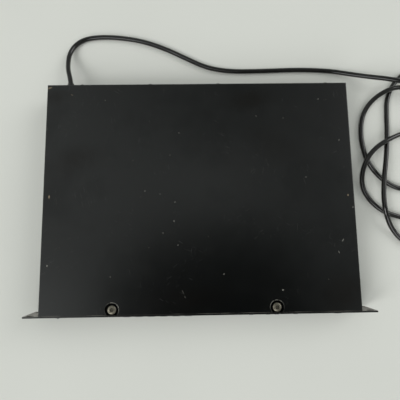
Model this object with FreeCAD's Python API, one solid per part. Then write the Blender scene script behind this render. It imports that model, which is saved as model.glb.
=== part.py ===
import FreeCAD
import Part
import math
import os

V = FreeCAD.Vector
X, Y, Z = V(1, 0, 0), V(0, 1, 0), V(0, 0, 1)

# Frame: X to the right, Y to the rear, Z up, in millimetres. The origin lies on the surface that the
# unit stands on, under the middle of everything but the mains lead.

# ---- driving sizes ----
case_width, case_depth, case_height = 440.0, 328.5, 42.5
ear_width, panel_overlap = 21.3, 0.6            # front panel beyond the case: 482.6 by 43.7, one rack unit
panel_thickness, panel_corner = 2.0, 1.2
slot_length, slot_height = 10.3, 6.8
slot_inset, slot_spacing_z = 8.75, 31.75        # slots 465.1 apart along X
tray_sheet, cover_sheet, cover_bend = 1.2, 1.0, 1.2
cover_gap = 0.2                  # cover skirt to tray side
skirt_clearance = 1.0            # cover skirt above the tray's underside
rear_flange_height = 9.0
foot_height, foot_radius, foot_taper, foot_inset = 4.0, 8.0, 1.0, 25.0
screw_clearance = 0.1            # radial, every screw in its hole

dish_radius, dish_floor_radius, dish_depth, dish_rim = 9.3, 7.9, 1.8, 0.7
dish_x = (-121.2, 103.5)         # the two dishes aren't symmetric
dish_setback = 7.0               # dish centre behind the cover's front edge
lip_depth = 15.0

control_gap = 0.3                # moving control to the edge of its hole
knob_reach = 2.8                 # front of a flat knob, ahead of the panel
knob_gap = 0.5                   # back of its disc, ahead of the panel
rear_reach = 4.3                 # rearmost fitting, behind the cover
front_board_gap = 9.0            # panel to front board
board_thickness = 1.6

rocker_inset = 27.5              # from the case's left side, as are the next two
input_knob_inset, input_knob_radius = 54.5, 5.5
cord_inset, fuse_inset = 28.5, 70.0
output_knob_inset, output_knob_radius = 29.5, 9.5       # from the case's right side
level_switch_inset, lever_travel = 24.0, 4.0
lamp_x = (-149.0, -128.0)
function_button_x, function_button_pitch, function_button_count = -104.0, 17.2, 6
function_cap_width, function_cap_height = 10.0, 6.5
edit_button_x = (70.0, 94.0, 106.0, 133.0)
edit_cap_width, edit_cap_height = 6.0, 6.0
button_reach, button_travel = 3.8, 0.8
display_x, display_width, display_height = 38.5, 27.0, 17.0

jack_x, jack_pitch, jack_count = 62.0, 32.0, 4
jack_bore_radius, jack_bore_depth = 3.2, 31.0
jack_width, jack_height, jack_depth = 16.0, 19.0, 28.0
bushing_radius, bushing_reach = 4.6, 5.0
data_socket_x = (-34.0, 0.0)
cord_diameter = 7.2

# ---- values worked out from them ----
rack_width, rack_height = case_width + 2 * ear_width, case_height + 2 * panel_overlap
slot_spacing_x = rack_width - 2 * slot_inset
rocker_x = rocker_inset - case_width / 2
input_knob_x = input_knob_inset - case_width / 2
cord_x, fuse_x = cord_inset - case_width / 2, fuse_inset - case_width / 2
output_knob_x = case_width / 2 - output_knob_inset
level_switch_x = case_width / 2 - level_switch_inset
case_bottom = foot_height
case_top = case_bottom + case_height
mid_z = case_bottom + case_height / 2
front_reach = panel_thickness + button_reach
front_y = -(case_depth + rear_reach - front_reach) / 2      # panel's back face, cover's front edge
rear_y = front_y + case_depth                               # cover's rear face
panel_front = front_y - panel_thickness
rear_face = rear_y - cover_sheet                            # rear panel's outer face
rear_inner = rear_face - tray_sheet
floor_top = case_bottom + tray_sheet
wall_top = case_top - cover_sheet - dish_depth              # tray walls and front lip
tray_half = case_width / 2 - cover_sheet - cover_gap
tray_inner = tray_half - tray_sheet                         # inner face of the tray's side
board_front = front_y + front_board_gap
board_back = board_front + board_thickness


# ---- shape helpers ----
def block(x0, x1, y0, y1, z0, z1):
    return Part.makeBox(x1 - x0, y1 - y0, z1 - z0, V(x0, y0, z0))


def plate(cx, width, y0, y1, cz, height):
    """Box centred on cx and cz, from y0 to y1."""
    return block(cx - width / 2, cx + width / 2, y0, y1, cz - height / 2, cz + height / 2)


def rod(start, radius, length, axis):
    return Part.makeCylinder(radius, length, start, axis)


def cone(start, radius, end_radius, length, axis):
    return Part.makeCone(radius, end_radius, length, start, axis)


def joined(*shapes):
    return shapes[0].multiFuse(list(shapes[1:])).removeSplitter()


def circle_edges(shape, centre, radius):
    """Circular edges of that radius, centred on that point."""
    return [e for e in shape.Edges if isinstance(e.Curve, Part.Circle)
            and e.Curve.Center.isEqual(centre, 0.01) and abs(e.Curve.Radius - radius) < 0.01]


def long_edges(shape, direction, at_least):
    """Straight edges along a direction, at least that long."""
    return [e for e in shape.Edges if isinstance(e.Curve, Part.Line) and e.Length >= at_least
            and abs(abs(e.Curve.Direction.dot(direction)) - 1) < 1e-6]


def placed(shape, point, direction):
    """A shape made about +Z, moved to a point with its +Z turned to a direction."""
    out = shape.copy()
    out.Placement = FreeCAD.Placement(point, FreeCAD.Rotation(Z, direction))
    return out


def screw(seat, outward, head_radius, head_height, shank_radius, shank_length, recess=1.0):
    """Pan-head screw with a cross recess. The head stands outward from its seat."""
    head = rod(V(0, 0, 0), head_radius, head_height, Z)
    head = head.makeFillet(head_height * 0.55, circle_edges(head, V(0, 0, head_height), head_radius))
    body = joined(head, rod(V(0, 0, -shank_length), shank_radius, shank_length, Z))
    arm, slot = head_radius * 0.55, head_radius * 0.17
    for half_x, half_y in ((arm, slot), (slot, arm)):
        body = body.cut(block(-half_x, half_x, -half_y, half_y, head_height - recess, head_height + 1))
    return placed(body, seat, outward)


def sunk_screw(face, outward, head_radius, shank_radius, shank_length):
    """Countersunk screw. Its head's flat lies on the face."""
    depth = head_radius - shank_radius
    body = joined(cone(V(0, 0, 0), head_radius, shank_radius, depth, -Z),
                  rod(V(0, 0, -shank_length), shank_radius, shank_length - depth, Z))
    arm, slot = head_radius * 0.6, head_radius * 0.18
    for half_x, half_y in ((arm, slot), (slot, arm)):
        body = body.cut(block(-half_x, half_x, -half_y, half_y, -depth * 0.6, 1))
    return placed(body, face, outward)


# ---- casing ----
m3, m4 = 1.5, 2.0                                    # screw shank radii
cover_head_radius, cover_head_height = 6.1, 2.3
small_head_radius, small_head_height = 2.8, 1.8
low_head_height = 1.4
window_bottom, window_top = case_bottom + 8.5, wall_top - 7.5
wall_margin, bar_half = 9.6, 4.0
left_bar = (lamp_x[-1] + function_button_x) / 2
right_bar = (edit_button_x[-1] + output_knob_x - output_knob_radius) / 2
wall_windows = ((wall_margin - tray_inner, left_bar - bar_half), (left_bar + bar_half, right_bar - bar_half),
                (right_bar + bar_half, tray_inner - wall_margin))
panel_screw_x = (wall_margin / 2 - tray_inner, left_bar, right_bar, tray_inner - wall_margin / 2)
side_screw_y = (front_y + 30, front_y + case_depth / 2, rear_y - 30)
rear_screw_x = (fuse_x - 20, -70.0, 30.0, level_switch_x - 6)
bottom_screw_x = (-180.0, -60.0, 60.0, 180.0)
flange_depth = 10.0
rear_flange_screw_z = case_top - rear_flange_height / 2
dish_y = front_y + dish_setback
foot_places = [(sx * (case_width / 2 - foot_inset), y) for sx in (-1, 1)
               for y in (front_y + foot_inset, rear_y - foot_inset)]
vent_pitch, vent_count = 9.0, 9
vent_width, vent_length = 3.2, 34.0


def chassis_tray():
    tray = joined(
        block(-tray_half, tray_half, front_y, rear_face, case_bottom, floor_top),
        block(-tray_half, -tray_inner, front_y, rear_face, case_bottom, wall_top),
        block(tray_inner, tray_half, front_y, rear_face, case_bottom, wall_top),
        block(-tray_half, tray_half, front_y, front_y + tray_sheet, case_bottom, wall_top),
        block(-tray_half, tray_half, front_y, front_y + lip_depth, wall_top - tray_sheet, wall_top))
    cuts = [block(x0, x1, front_y - 1, front_y + tray_sheet + 1, window_bottom, window_top)
            for x0, x1 in wall_windows]
    cuts += [rod(V(x, front_y - 1, mid_z), m3 + screw_clearance, 4, Y) for x in panel_screw_x]
    cuts += [rod(V(x, dish_y, wall_top - 3), m4 + screw_clearance, 4, Z) for x in dish_x]
    cuts += [rod(V(x, y, case_bottom - 1), m3 + screw_clearance, 4, Z) for x, y in foot_places]
    cuts += [rod(V(x, rear_inner - flange_depth / 2, case_bottom - 1), m3 + screw_clearance, 4, Z)
             for x in bottom_screw_x]
    cuts += [rod(V(sx * (tray_inner - 1), y, mid_z), m3 + screw_clearance, 4, X * sx)
             for sx in (-1, 1) for y in side_screw_y]
    for i in range(vent_count):
        x = transformer_x + (i - (vent_count - 1) / 2) * vent_pitch
        for y in (transformer_y - vent_length - 2, transformer_y + 2):
            cuts.append(block(x - vent_width / 2, x + vent_width / 2, y, y + vent_length,
                              case_bottom - 1, floor_top + 1))
    return tray.cut(Part.makeCompound(cuts))


def rear_panel():
    half = tray_inner
    panel = joined(
        block(-half, half, rear_inner, rear_face, floor_top, case_top - cover_sheet),
        block(-half, half, rear_inner - flange_depth, rear_face, floor_top, floor_top + tray_sheet))
    cuts = [rod(V(x, rear_inner - 1, jack_z), bushing_radius + 0.2, 4, Y) for x in jack_places]
    cuts += [rod(V(x, rear_inner - 1, socket_z), socket_nose_radius + 0.2, 4, Y) for x in data_socket_x]
    cuts += [rod(V(fuse_x, rear_inner - 1, fuse_z), fuse_body_radius + 0.1, 4, Y),
             rod(V(cord_x, rear_inner - 1, mid_z), relief_waist_radius + 0.1, 4, Y),
             plate(level_switch_x, lever_width + lever_travel + 2 * control_gap, rear_inner - 1,
                   rear_face + 1, jack_z, lever_height + 2 * control_gap)]
    cuts += [rod(V(x, rear_inner - 1, rear_flange_screw_z), m3 + screw_clearance, 4, Y)
             for x in rear_screw_x]
    cuts += [rod(V(x, rear_inner - flange_depth / 2, floor_top - 1), m3 + screw_clearance, 4, Z)
             for x in bottom_screw_x]
    return panel.cut(Part.makeCompound(cuts))


def top_cover():
    half = case_width / 2
    inner = half - cover_sheet
    outer = block(-half, half, front_y, rear_y, case_bottom + skirt_clearance, case_top)
    edges = [e for e in long_edges(outer, Y, case_depth - 1) + long_edges(outer, X, case_width - 1)
             if e.CenterOfMass.z > case_top - 1 and e.CenterOfMass.y > front_y + 1]
    outer = outer.makeFillet(cover_bend, edges)
    hollow = block(-inner, inner, front_y - 1, rear_y - cover_sheet, 0, case_top - cover_sheet)
    doorway = block(-inner, inner, front_y, rear_y + 1, 0, case_top - rear_flange_height)
    cover = outer.cut(Part.makeCompound([hollow])).cut(doorway)
    in_front = block(-half, half, front_y - 30, front_y, 0, case_top + 5)
    slope = cover_sheet * (dish_radius - dish_floor_radius) / dish_depth
    for x in dish_x:
        shell = cone(V(x, dish_y, case_top), dish_radius + slope * 0.6, dish_floor_radius + slope * 0.6,
                     dish_depth + cover_sheet, -Z)
        dish = cone(V(x, dish_y, case_top), dish_radius, dish_floor_radius, dish_depth, -Z)
        mouth = rod(V(x, dish_y, case_top), dish_radius, 2, Z)
        hole = rod(V(x, dish_y, wall_top - 1), m4 + screw_clearance, 5, Z)
        cover = cover.fuse(shell.cut(in_front)).cut(dish).cut(mouth).cut(hole)
    cover = cover.removeSplitter()
    rims = [e for x in dish_x for e in circle_edges(cover, V(x, dish_y, case_top), dish_radius)]
    cover = cover.makeFillet(dish_rim, rims)
    holes = [rod(V(sx * (inner - 1), y, mid_z), m3 + screw_clearance, 4, X * sx)
             for sx in (-1, 1) for y in side_screw_y]
    holes += [rod(V(x, rear_face - 1, rear_flange_screw_z), m3 + screw_clearance, 4, Y)
              for x in rear_screw_x]
    return cover.cut(Part.makeCompound(holes)).removeSplitter()


def slot_cut(x, z):
    """Rounded rack slot through the panel, lying along X."""
    radius = slot_height / 2
    half = slot_length / 2 - radius
    return joined(plate(x, 2 * half, panel_front - 1, front_y + 1, z, slot_height),
                  rod(V(x - half, panel_front - 1, z), radius, panel_thickness + 2, Y),
                  rod(V(x + half, panel_front - 1, z), radius, panel_thickness + 2, Y))


def front_panel():
    panel = plate(0, rack_width, panel_front, front_y, mid_z, rack_height)
    panel = panel.makeFillet(panel_corner, long_edges(panel, Y, panel_thickness - 0.1))
    cuts = [slot_cut(sx * slot_spacing_x / 2, mid_z + sz * slot_spacing_z / 2)
            for sx in (-1, 1) for sz in (-1, 1)]
    cuts.append(plate(rocker_x, switch_width + 0.4, panel_front - 1, front_y + 1, mid_z, switch_height + 0.4))
    cuts += [plate(x, w + 2 * control_gap, panel_front - 1, front_y + 1, mid_z, h + 2 * control_gap)
             for _, x, w, h in buttons]
    cuts.append(plate(display_x, lens_width + 0.2, panel_front - 1, front_y + 1, mid_z, lens_height + 0.2))
    cuts += [rod(V(x, panel_front - 1, mid_z), lamp_radius + 0.1, panel_thickness + 2, Y) for x in lamp_x]
    cuts += [rod(V(x, panel_front - 1, mid_z), hub_radius + control_gap, panel_thickness + 2, Y)
             for x in (input_knob_x, output_knob_x)]
    depth = sunk_head_radius - m3
    for x in panel_screw_x:
        cuts.append(cone(V(x, panel_front, mid_z), sunk_head_radius + 0.05, m3 + 0.05, depth, Y))
        cuts.append(rod(V(x, panel_front - 1, mid_z), m3 + screw_clearance, panel_thickness + 2, Y))
    return panel.cut(Part.makeCompound(cuts))


sunk_head_radius = 3.0
foot_recess_radius, foot_recess_depth = 4.2, 2.2


def rubber_feet():
    feet = []
    for x, y in foot_places:
        foot = cone(V(x, y, 0), foot_radius - foot_taper, foot_radius, foot_height, Z)
        recess = rod(V(x, y, -1), foot_recess_radius, foot_recess_depth + 1, Z)
        hole = rod(V(x, y, 0), m3 + screw_clearance, foot_height, Z)
        feet.append(foot.cut(recess).cut(hole))
    return Part.makeCompound(feet)


def cover_front_screws():
    seat_z = case_top - dish_depth
    return Part.makeCompound([screw(V(x, dish_y, seat_z), Z, cover_head_radius, cover_head_height, m4, 9)
                              for x in dish_x])


def cover_side_screws():
    return Part.makeCompound([
        screw(V(sx * case_width / 2, y, mid_z), X * sx, small_head_radius, small_head_height, m3, 6)
        for sx in (-1, 1) for y in side_screw_y])


def cover_rear_screws():
    return Part.makeCompound([
        screw(V(x, rear_y, rear_flange_screw_z), Y, small_head_radius, small_head_height, m3, 6)
        for x in rear_screw_x])


def rear_panel_screws():
    return Part.makeCompound([
        screw(V(x, rear_inner - flange_depth / 2, case_bottom), -Z, small_head_radius, low_head_height, m3, 6,
              recess=0.8)
        for x in bottom_screw_x])


def front_panel_screws():
    return Part.makeCompound([sunk_screw(V(x, panel_front, mid_z), -Y, sunk_head_radius, m3, 8)
                              for x in panel_screw_x])


def foot_screws():
    return Part.makeCompound([
        screw(V(x, y, foot_recess_depth), -Z, small_head_radius, low_head_height, m3, 7, recess=0.8)
        for x, y in foot_places])


# ---- front controls ----
switch_width, switch_height, switch_depth = 19.2, 13.4, 18.0
bezel_width, bezel_height, bezel_reach = 21.0, 15.2, 1.8
rocker_radius, rocker_height, rocker_tilt = 8.2, 10.4, 10.0
rocker_crown, rocker_skirt = 1.5, 3.0
rocker_gap = 0.4
pivot_radius, pivot_fit, pivot_length = 1.0, 0.05, 0.8
tab_width, tab_thickness, tab_length = 4.8, 0.8, 7.0


def power_rocker():
    """Rocker in its off position: one end proud, the other flush with the bezel."""
    rise = math.tan(math.radians(rocker_tilt)) * rocker_radius * 1.1
    half = rocker_radius * 1.1
    corners = [V(-half, rocker_skirt), V(half, rocker_skirt), V(half, -rocker_crown - rise),
               V(0, -rocker_crown), V(-half, -rocker_crown - rise)]
    outline = Part.Face(Part.makePolygon(corners + corners[:1]))
    prism = outline.extrude(V(0, 0, rocker_height))
    prism = prism.common(rod(V(0, 0, 0), rocker_radius, rocker_height, Z))
    pin = rod(V(0, 0, -pivot_length), pivot_radius, rocker_height + 2 * pivot_length, Z)
    rocker = joined(prism, pin)
    rocker.rotate(V(0, 0, 0), Z, rocker_tilt)
    rocker.translate(V(rocker_x, panel_front, mid_z - rocker_height / 2))
    return rocker


def power_switch_body():
    bezel = plate(rocker_x, bezel_width, panel_front - bezel_reach, panel_front, mid_z, bezel_height)
    bezel = bezel.makeFillet(0.8, long_edges(bezel, Y, bezel_reach - 0.1))
    body = joined(bezel, plate(rocker_x, switch_width, panel_front - 0.1, panel_front + switch_depth,
                               mid_z, switch_height))
    room = rocker_height / 2 + rocker_gap
    cavity = plate(rocker_x, 2 * (rocker_radius + rocker_gap), panel_front - bezel_reach - 1,
                   panel_front + rocker_skirt + 2.0, mid_z, 2 * room)
    sockets = rod(V(rocker_x, panel_front, mid_z - rocker_height / 2 - pivot_length - 0.1),
                  pivot_radius + pivot_fit, rocker_height + 2 * pivot_length + 0.2, Z)
    tabs = [plate(rocker_x + dx, tab_thickness, panel_front + switch_depth,
                  panel_front + switch_depth + tab_length, mid_z + dz, tab_width)
            for dx in (-6.0, 6.0) for dz in (-3.4, 3.4)]
    return Part.makeCompound([body.cut(cavity).cut(sockets)] + tabs)


buttons = [("function_button_%d" % (i + 1), function_button_x + i * function_button_pitch,
            function_cap_width, function_cap_height) for i in range(function_button_count)]
buttons += [("edit_button_%d" % (i + 1), x, edit_cap_width, edit_cap_height)
            for i, x in enumerate(edit_button_x)]
cap_flange, flange_gap, flange_thickness = 1.0, 0.1, 1.0
stem_radius, plunger_radius, plunger_gap = 2.4, 1.6, 0.3
tact_width, tact_depth = 6.2, 3.6
plunger_entry = 1.2


def button(x, width, height):
    cap = plate(x, width, panel_front - button_reach, front_y + flange_gap, mid_z, height)
    cap = cap.makeFillet(0.6, [e for e in cap.Edges
                               if e.CenterOfMass.y < panel_front - button_reach + 0.1])
    flange_back = front_y + flange_gap + flange_thickness
    return joined(
        cap,
        plate(x, width + 2 * cap_flange, front_y + flange_gap, flange_back, mid_z, height + 2 * cap_flange),
        rod(V(x, flange_back, mid_z), stem_radius, board_front - tact_depth - button_travel - 0.3 - flange_back, Y),
        rod(V(x, flange_back, mid_z), plunger_radius, board_front - tact_depth + plunger_entry - flange_back, Y))


def button_switches():
    out = []
    for _, x, _, _ in buttons:
        body = plate(x, tact_width, board_front - tact_depth, board_front, mid_z, tact_width)
        well = rod(V(x, board_front - tact_depth - 1, mid_z), plunger_radius + plunger_gap,
                   1 + plunger_entry + button_travel + 0.3, Y)
        out.append(body.cut(well))
    return Part.makeCompound(out)


lamp_radius, lamp_flange_radius, lamp_reach, lead_width = 1.5, 1.9, 2.4, 0.5


def indicator_lamps():
    out = []
    for x in lamp_x:
        tip = panel_front - lamp_reach + lamp_radius
        base = front_y + 2.4
        body = joined(rod(V(x, tip, mid_z), lamp_radius, base - tip, Y),
                      Part.makeSphere(lamp_radius, V(x, tip, mid_z)),
                      rod(V(x, base - 1, mid_z), lamp_flange_radius, 1, Y))
        leads = [plate(x + dx, lead_width, base - 0.2, board_back + 1, mid_z, lead_width) for dx in (-1.27, 1.27)]
        out.append(joined(body, *leads))
    return Part.makeCompound(out)


lens_width, lens_height, lens_rim = 24.0, 14.0, 1.2


def display_window():
    return joined(
        plate(display_x, display_width, panel_front - lens_rim, panel_front, mid_z, display_height),
        plate(display_x, lens_width, panel_front - 0.1, front_y - 0.2, mid_z, lens_height))


def display_module():
    return plate(display_x, lens_width - 2, front_y + 0.3, board_front, mid_z, lens_height - 1)


shaft_radius, shaft_fit, shaft_entry = 3.0, 0.05, 3.0
knob_face = 1.2                   # knob material in front of its shaft
hub_radius, hub_entry = 4.2, 1.5  # the knob's hub, and how far it reaches behind the panel
pot_width, pot_depth = 10.4, 6.4


def knob(x, radius, grooves):
    """Flat round knob on a hub, with grooves around its side and a pointer groove across its face."""
    front = panel_front - knob_reach
    length = knob_reach - knob_gap
    disc = rod(V(x, front, mid_z), radius, length, Y)
    disc = disc.makeFillet(0.5, circle_edges(disc, V(x, front, mid_z), radius))
    hub_length = front_y + hub_entry - front - length
    body = joined(disc, rod(V(x, front + length, mid_z), hub_radius, hub_length, Y))
    cuts = [rod(V(x, front + knob_face, mid_z), shaft_radius + 0.02, length + hub_length, Y)]
    for i in range(grooves):
        angle = 2 * math.pi * (i + 0.5) / grooves
        centre = V(x + math.cos(angle) * (radius + 0.15), front + 1.2, mid_z + math.sin(angle) * (radius + 0.15))
        cuts.append(rod(centre, 0.45, length, Y))
    cuts.append(block(x - 0.4, x + 0.4, front - 1, front + 0.5, mid_z + radius * 0.35, mid_z + radius + 1))
    return body.cut(Part.makeCompound(cuts))


def pot_shaft(x):
    start = panel_front - knob_reach + knob_face
    end = board_front - pot_depth + shaft_entry
    return rod(V(x, start, mid_z), shaft_radius, end - start, Y)


def pot_bodies():
    out = []
    for x in (input_knob_x, output_knob_x):
        body = plate(x, pot_width, board_front - pot_depth, board_front, mid_z, pot_width)
        well = rod(V(x, board_front - pot_depth - 1, mid_z), shaft_radius + shaft_fit, 1 + shaft_entry + 0.2, Y)
        out.append(body.cut(well))
    return Part.makeCompound(out)


board_left, board_right = input_knob_x - 10.5, output_knob_x + 13.5
front_board_height = 34.0
spacer_x, spacer_rise, spacer_width = (-150.0, 54.0, 165.0), 14.8, 4.5
m25 = 1.25


def spacer_places():
    return [(x, mid_z + sz * spacer_rise) for x in spacer_x for sz in (-1, 1)]


def front_board():
    board = block(board_left, board_right, board_front, board_back,
                  mid_z - front_board_height / 2, mid_z + front_board_height / 2)
    cuts = [rod(V(x, board_front - 1, z), m25 + screw_clearance, 4, Y) for x, z in spacer_places()]
    cuts += [plate(x + dx, lead_width + 0.2, board_front - 1, board_back + 1, mid_z, lead_width + 0.2)
             for x in lamp_x for dx in (-1.27, 1.27)]
    return board.cut(Part.makeCompound(cuts))


def hex_rod(start, across_flats, length, axis):
    """Hexagonal bar from a point along an axis."""
    radius = across_flats / math.sqrt(3)
    corners = [V(radius * math.cos(math.radians(60 * i)), radius * math.sin(math.radians(60 * i)))
               for i in range(7)]
    corners[6] = corners[0]
    return placed(Part.Face(Part.makePolygon(corners)).extrude(Z * length), start, axis)


def front_board_spacers():
    out = []
    for x, z in spacer_places():
        bar = hex_rod(V(x, front_y + tray_sheet, z), spacer_width, front_board_gap - tray_sheet, Y)
        out.append(bar.cut(rod(V(x, board_front - 5.5, z), m25 + screw_clearance, 6, Y)))
    return Part.makeCompound(out)


def front_board_screws():
    return Part.makeCompound([screw(V(x, board_back, z), Y, 2.3, 1.5, m25, 6, recess=0.8)
                              for x, z in spacer_places()])


# ---- main board and what it carries ----
standoff_height = 6.0
main_left, main_right = -84.0, tray_inner - 7.6
main_front = front_y + 40.0
main_back = rear_inner - 1.0
main_bottom = floor_top + standoff_height
main_top = main_bottom + board_thickness
standoff_places = [(x, y) for x in (main_left + 8, 20.0, main_right - 8)
                   for y in (main_front + 8, main_back - 42)]


def main_board():
    board = block(main_left, main_right, main_front, main_back, main_bottom, main_top)
    rebate = block(main_left - 1, main_right + 1, rear_inner - flange_depth, main_back + 1, 0, floor_top + 2)
    holes = [rod(V(x, y, main_bottom - 1), m3 + screw_clearance, 4, Z) for x, y in standoff_places]
    return board.cut(Part.makeCompound([rebate] + holes))


def board_standoffs():
    return Part.makeCompound([
        hex_rod(V(x, y, floor_top), 5.5, standoff_height, Z)
        .cut(rod(V(x, y, floor_top + 1), m3 + screw_clearance, standoff_height, Z))
        for x, y in standoff_places])


def board_screws():
    return Part.makeCompound([screw(V(x, y, main_top), Z, small_head_radius, small_head_height, m3, 5.5)
                              for x, y in standoff_places])


def chip(x, y, length, width, height):
    """Flat chip: a body on its two rows of legs."""
    rise = 0.6
    body = block(x - length / 2, x + length / 2, y - width / 2, y + width / 2, main_top + rise,
                 main_top + rise + height)
    legs = [block(x - length / 2 + 0.8, x + length / 2 - 0.8, y + sy * width / 2 - 0.3, y + sy * width / 2 + 0.3,
                  main_top, main_top + rise + height / 2) for sy in (-1, 1)]
    return joined(body, *legs)


def logic_chips():
    """Processor, memory and converters in rows on the main board."""
    y = main_front + 60
    chips = [chip(30, y, 52, 14, 3.6), chip(105, y, 36, 14, 3.6), chip(160, y, 36, 14, 3.6)]
    chips += [chip(-20 + 34 * i, y + 42, 22, 7, 3.2) for i in range(6)]
    chips += [chip(8 + 34 * i, y + 82, 19, 7, 3.2) for i in range(6)]
    chips += [chip(60 + 32 * i, main_back - 64, 10, 7, 3.0) for i in range(4)]
    return Part.makeCompound(chips)


def can(x, y, radius, height):
    body = rod(V(x, y, main_top), radius, height, Z)
    body = body.makeFillet(0.6, circle_edges(body, V(x, y, main_top + height), radius))
    return body.cut(block(x - radius * 0.6, x + radius * 0.6, y - 0.2, y + 0.2, main_top + height - 0.4,
                          main_top + height + 1))


def capacitors():
    """Smoothing capacitors by the heatsink and small coupling capacitors by the jacks."""
    cans = [can(-38, main_front + 30 + 26 * i, 8.0, 25.0) for i in range(2)]
    cans += [can(-38, main_front + 165 + 16 * i, 5.0, 16.0) for i in range(3)]
    cans += [can(54 + 32 * i, main_back - 48, 3.2, 11.0) for i in range(4)]
    return Part.makeCompound(cans)


sink_left, sink_base, sink_height = main_left + 4, 3.0, 24.0
sink_front, sink_length, fin_depth, fin_thickness, fin_count = main_front + 70, 84.0, 12.0, 1.4, 12
regulator_y = [sink_front + 14 + 28 * i for i in range(3)]
regulator_face = sink_left + fin_depth + sink_base


def heatsink():
    base = block(sink_left + fin_depth, regulator_face, sink_front, sink_front + sink_length, main_top,
                 main_top + sink_height)
    pitch = (sink_length - fin_thickness) / (fin_count - 1)
    fins = [block(sink_left, sink_left + fin_depth, sink_front + i * pitch, sink_front + i * pitch + fin_thickness,
                  main_top, main_top + sink_height) for i in range(fin_count)]
    return joined(base, *fins)


def regulators():
    out = []
    for y in regulator_y:
        tab = block(regulator_face, regulator_face + 1.3, y - 5, y + 5, main_top + 5, main_top + 20)
        body = block(regulator_face + 0.4, regulator_face + 4.5, y - 5, y + 5, main_top + 4, main_top + 13)
        legs = [block(regulator_face + 2.2, regulator_face + 2.7, y + dy - 0.4, y + dy + 0.4, main_top, main_top + 4.5)
                for dy in (-2.54, 0, 2.54)]
        out.append(joined(body, tab, *legs))
    return Part.makeCompound(out)


# ---- power side ----
transformer_x, transformer_y = 80.0 - case_width / 2, front_y + 190.0
core_width, core_length, core_stack = 66.0, 55.0, 20.0
leg_width = 11.0
winding_bulge, winding_clearance = 6.5, 0.3
bracket_sheet, bracket_foot = 1.0, 10.0
core_bottom = floor_top + winding_bulge + 1.5
core_top = core_bottom + core_stack
bracket_hole_radius = 1.8


def transformer_core():
    core = block(-core_width / 2, core_width / 2, -core_length / 2, core_length / 2, core_bottom, core_top)
    window = (core_width - 4 * leg_width) / 2
    windows = [block(sx * leg_width + (0 if sx > 0 else -window), sx * leg_width + (window if sx > 0 else 0),
                     -core_length / 2 + leg_width, core_length / 2 - leg_width, core_bottom - 1, core_top + 1)
               for sx in (-1, 1)]
    core = core.cut(Part.makeCompound(windows))
    core.translate(V(transformer_x, transformer_y, 0))
    return core


def transformer_winding():
    """Coil around the middle leg, standing out above and below the core."""
    window = (core_width - 4 * leg_width) / 2
    half_x = leg_width + window - winding_clearance
    half_y = core_length / 2 - leg_width - winding_clearance
    outer = block(-half_x, half_x, -half_y, half_y, core_bottom - winding_bulge, core_top + winding_bulge)
    outer = outer.makeFillet(3.0, long_edges(outer, Y, 2 * half_y - 1))
    leg = leg_width + winding_clearance
    inner = block(-leg, leg, -half_y - 1, half_y + 1, core_bottom - winding_clearance, core_top + winding_clearance)
    coil = outer.cut(inner)
    coil.translate(V(transformer_x, transformer_y, 0))
    return coil


def bracket_feet():
    reach = core_width / 2 + bracket_sheet + bracket_foot / 2
    return [(transformer_x + sx * reach, transformer_y) for sx in (-1, 1)]


def transformer_bracket():
    half_x, half_y = core_width / 2 + bracket_sheet, core_length / 2 - leg_width / 2
    strap = joined(
        block(-half_x, half_x, -half_y, half_y, core_top, core_top + bracket_sheet),
        block(-half_x, -half_x + bracket_sheet, -half_y, half_y, floor_top, core_top + bracket_sheet),
        block(half_x - bracket_sheet, half_x, -half_y, half_y, floor_top, core_top + bracket_sheet),
        block(-half_x - bracket_foot, -half_x + bracket_sheet, -half_y, half_y, floor_top, floor_top + bracket_sheet),
        block(half_x - bracket_sheet, half_x + bracket_foot, -half_y, half_y, floor_top, floor_top + bracket_sheet))
    window = (core_width - 4 * leg_width) / 2
    room_x, room_y = leg_width + window, core_length / 2 - leg_width
    strap = strap.cut(block(-room_x, room_x, -room_y, room_y, core_top - 1, core_top + 5))
    strap.translate(V(transformer_x, transformer_y, 0))
    return strap.cut(Part.makeCompound([rod(V(x, y, floor_top - 1), bracket_hole_radius, 4, Z)
                                        for x, y in bracket_feet()]))


def transformer_screws():
    return Part.makeCompound([
        screw(V(x, y, floor_top + bracket_sheet), Z, small_head_radius + 0.4, small_head_height, m3,
              bracket_sheet - 0.1) for x, y in bracket_feet()])


fuse_z = mid_z
fuse_body_radius, fuse_bore_radius, fuse_depth = 6.5, 4.6, 30.0
fuse_flange_radius, fuse_flange = 8.5, 1.8
cap_radius, cap_gap, cap_neck_radius, cap_neck = 6.0, 0.3, 4.3, 8.0
fuse_radius, fuse_length, fuse_cap_length = 2.6, 20.0, 5.0


def fuse_holder():
    body = joined(rod(V(fuse_x, rear_inner - fuse_depth, fuse_z), fuse_body_radius, fuse_depth + tray_sheet, Y),
                  rod(V(fuse_x, rear_face, fuse_z), fuse_flange_radius, fuse_flange, Y))
    bore = rod(V(fuse_x, rear_inner - fuse_depth + 3, fuse_z), fuse_bore_radius, fuse_depth + 10, Y)
    tabs = [plate(fuse_x, tab_width, rear_inner - fuse_depth - tab_length, rear_inner - fuse_depth, fuse_z,
                  tab_thickness),
            plate(fuse_x, tab_width, rear_inner - 20, rear_inner - 12, fuse_z - fuse_body_radius - 0.3,
                  tab_thickness)]
    return joined(body.cut(bore), tabs[0], tabs[1].cut(body))


def fuse_cap():
    start = rear_face + fuse_flange + cap_gap
    end = rear_y + rear_reach
    head = rod(V(fuse_x, start, fuse_z), cap_radius, end - start, Y)
    head = head.makeFillet(0.8, circle_edges(head, V(fuse_x, end, fuse_z), cap_radius))
    neck = rod(V(fuse_x, start - cap_neck, fuse_z), cap_neck_radius, cap_neck + 0.1, Y)
    slot = plate(fuse_x, 2 * cap_radius * 0.7, end - 1.2, end + 1, fuse_z, 1.4)
    return joined(head, neck).cut(slot)


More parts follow.
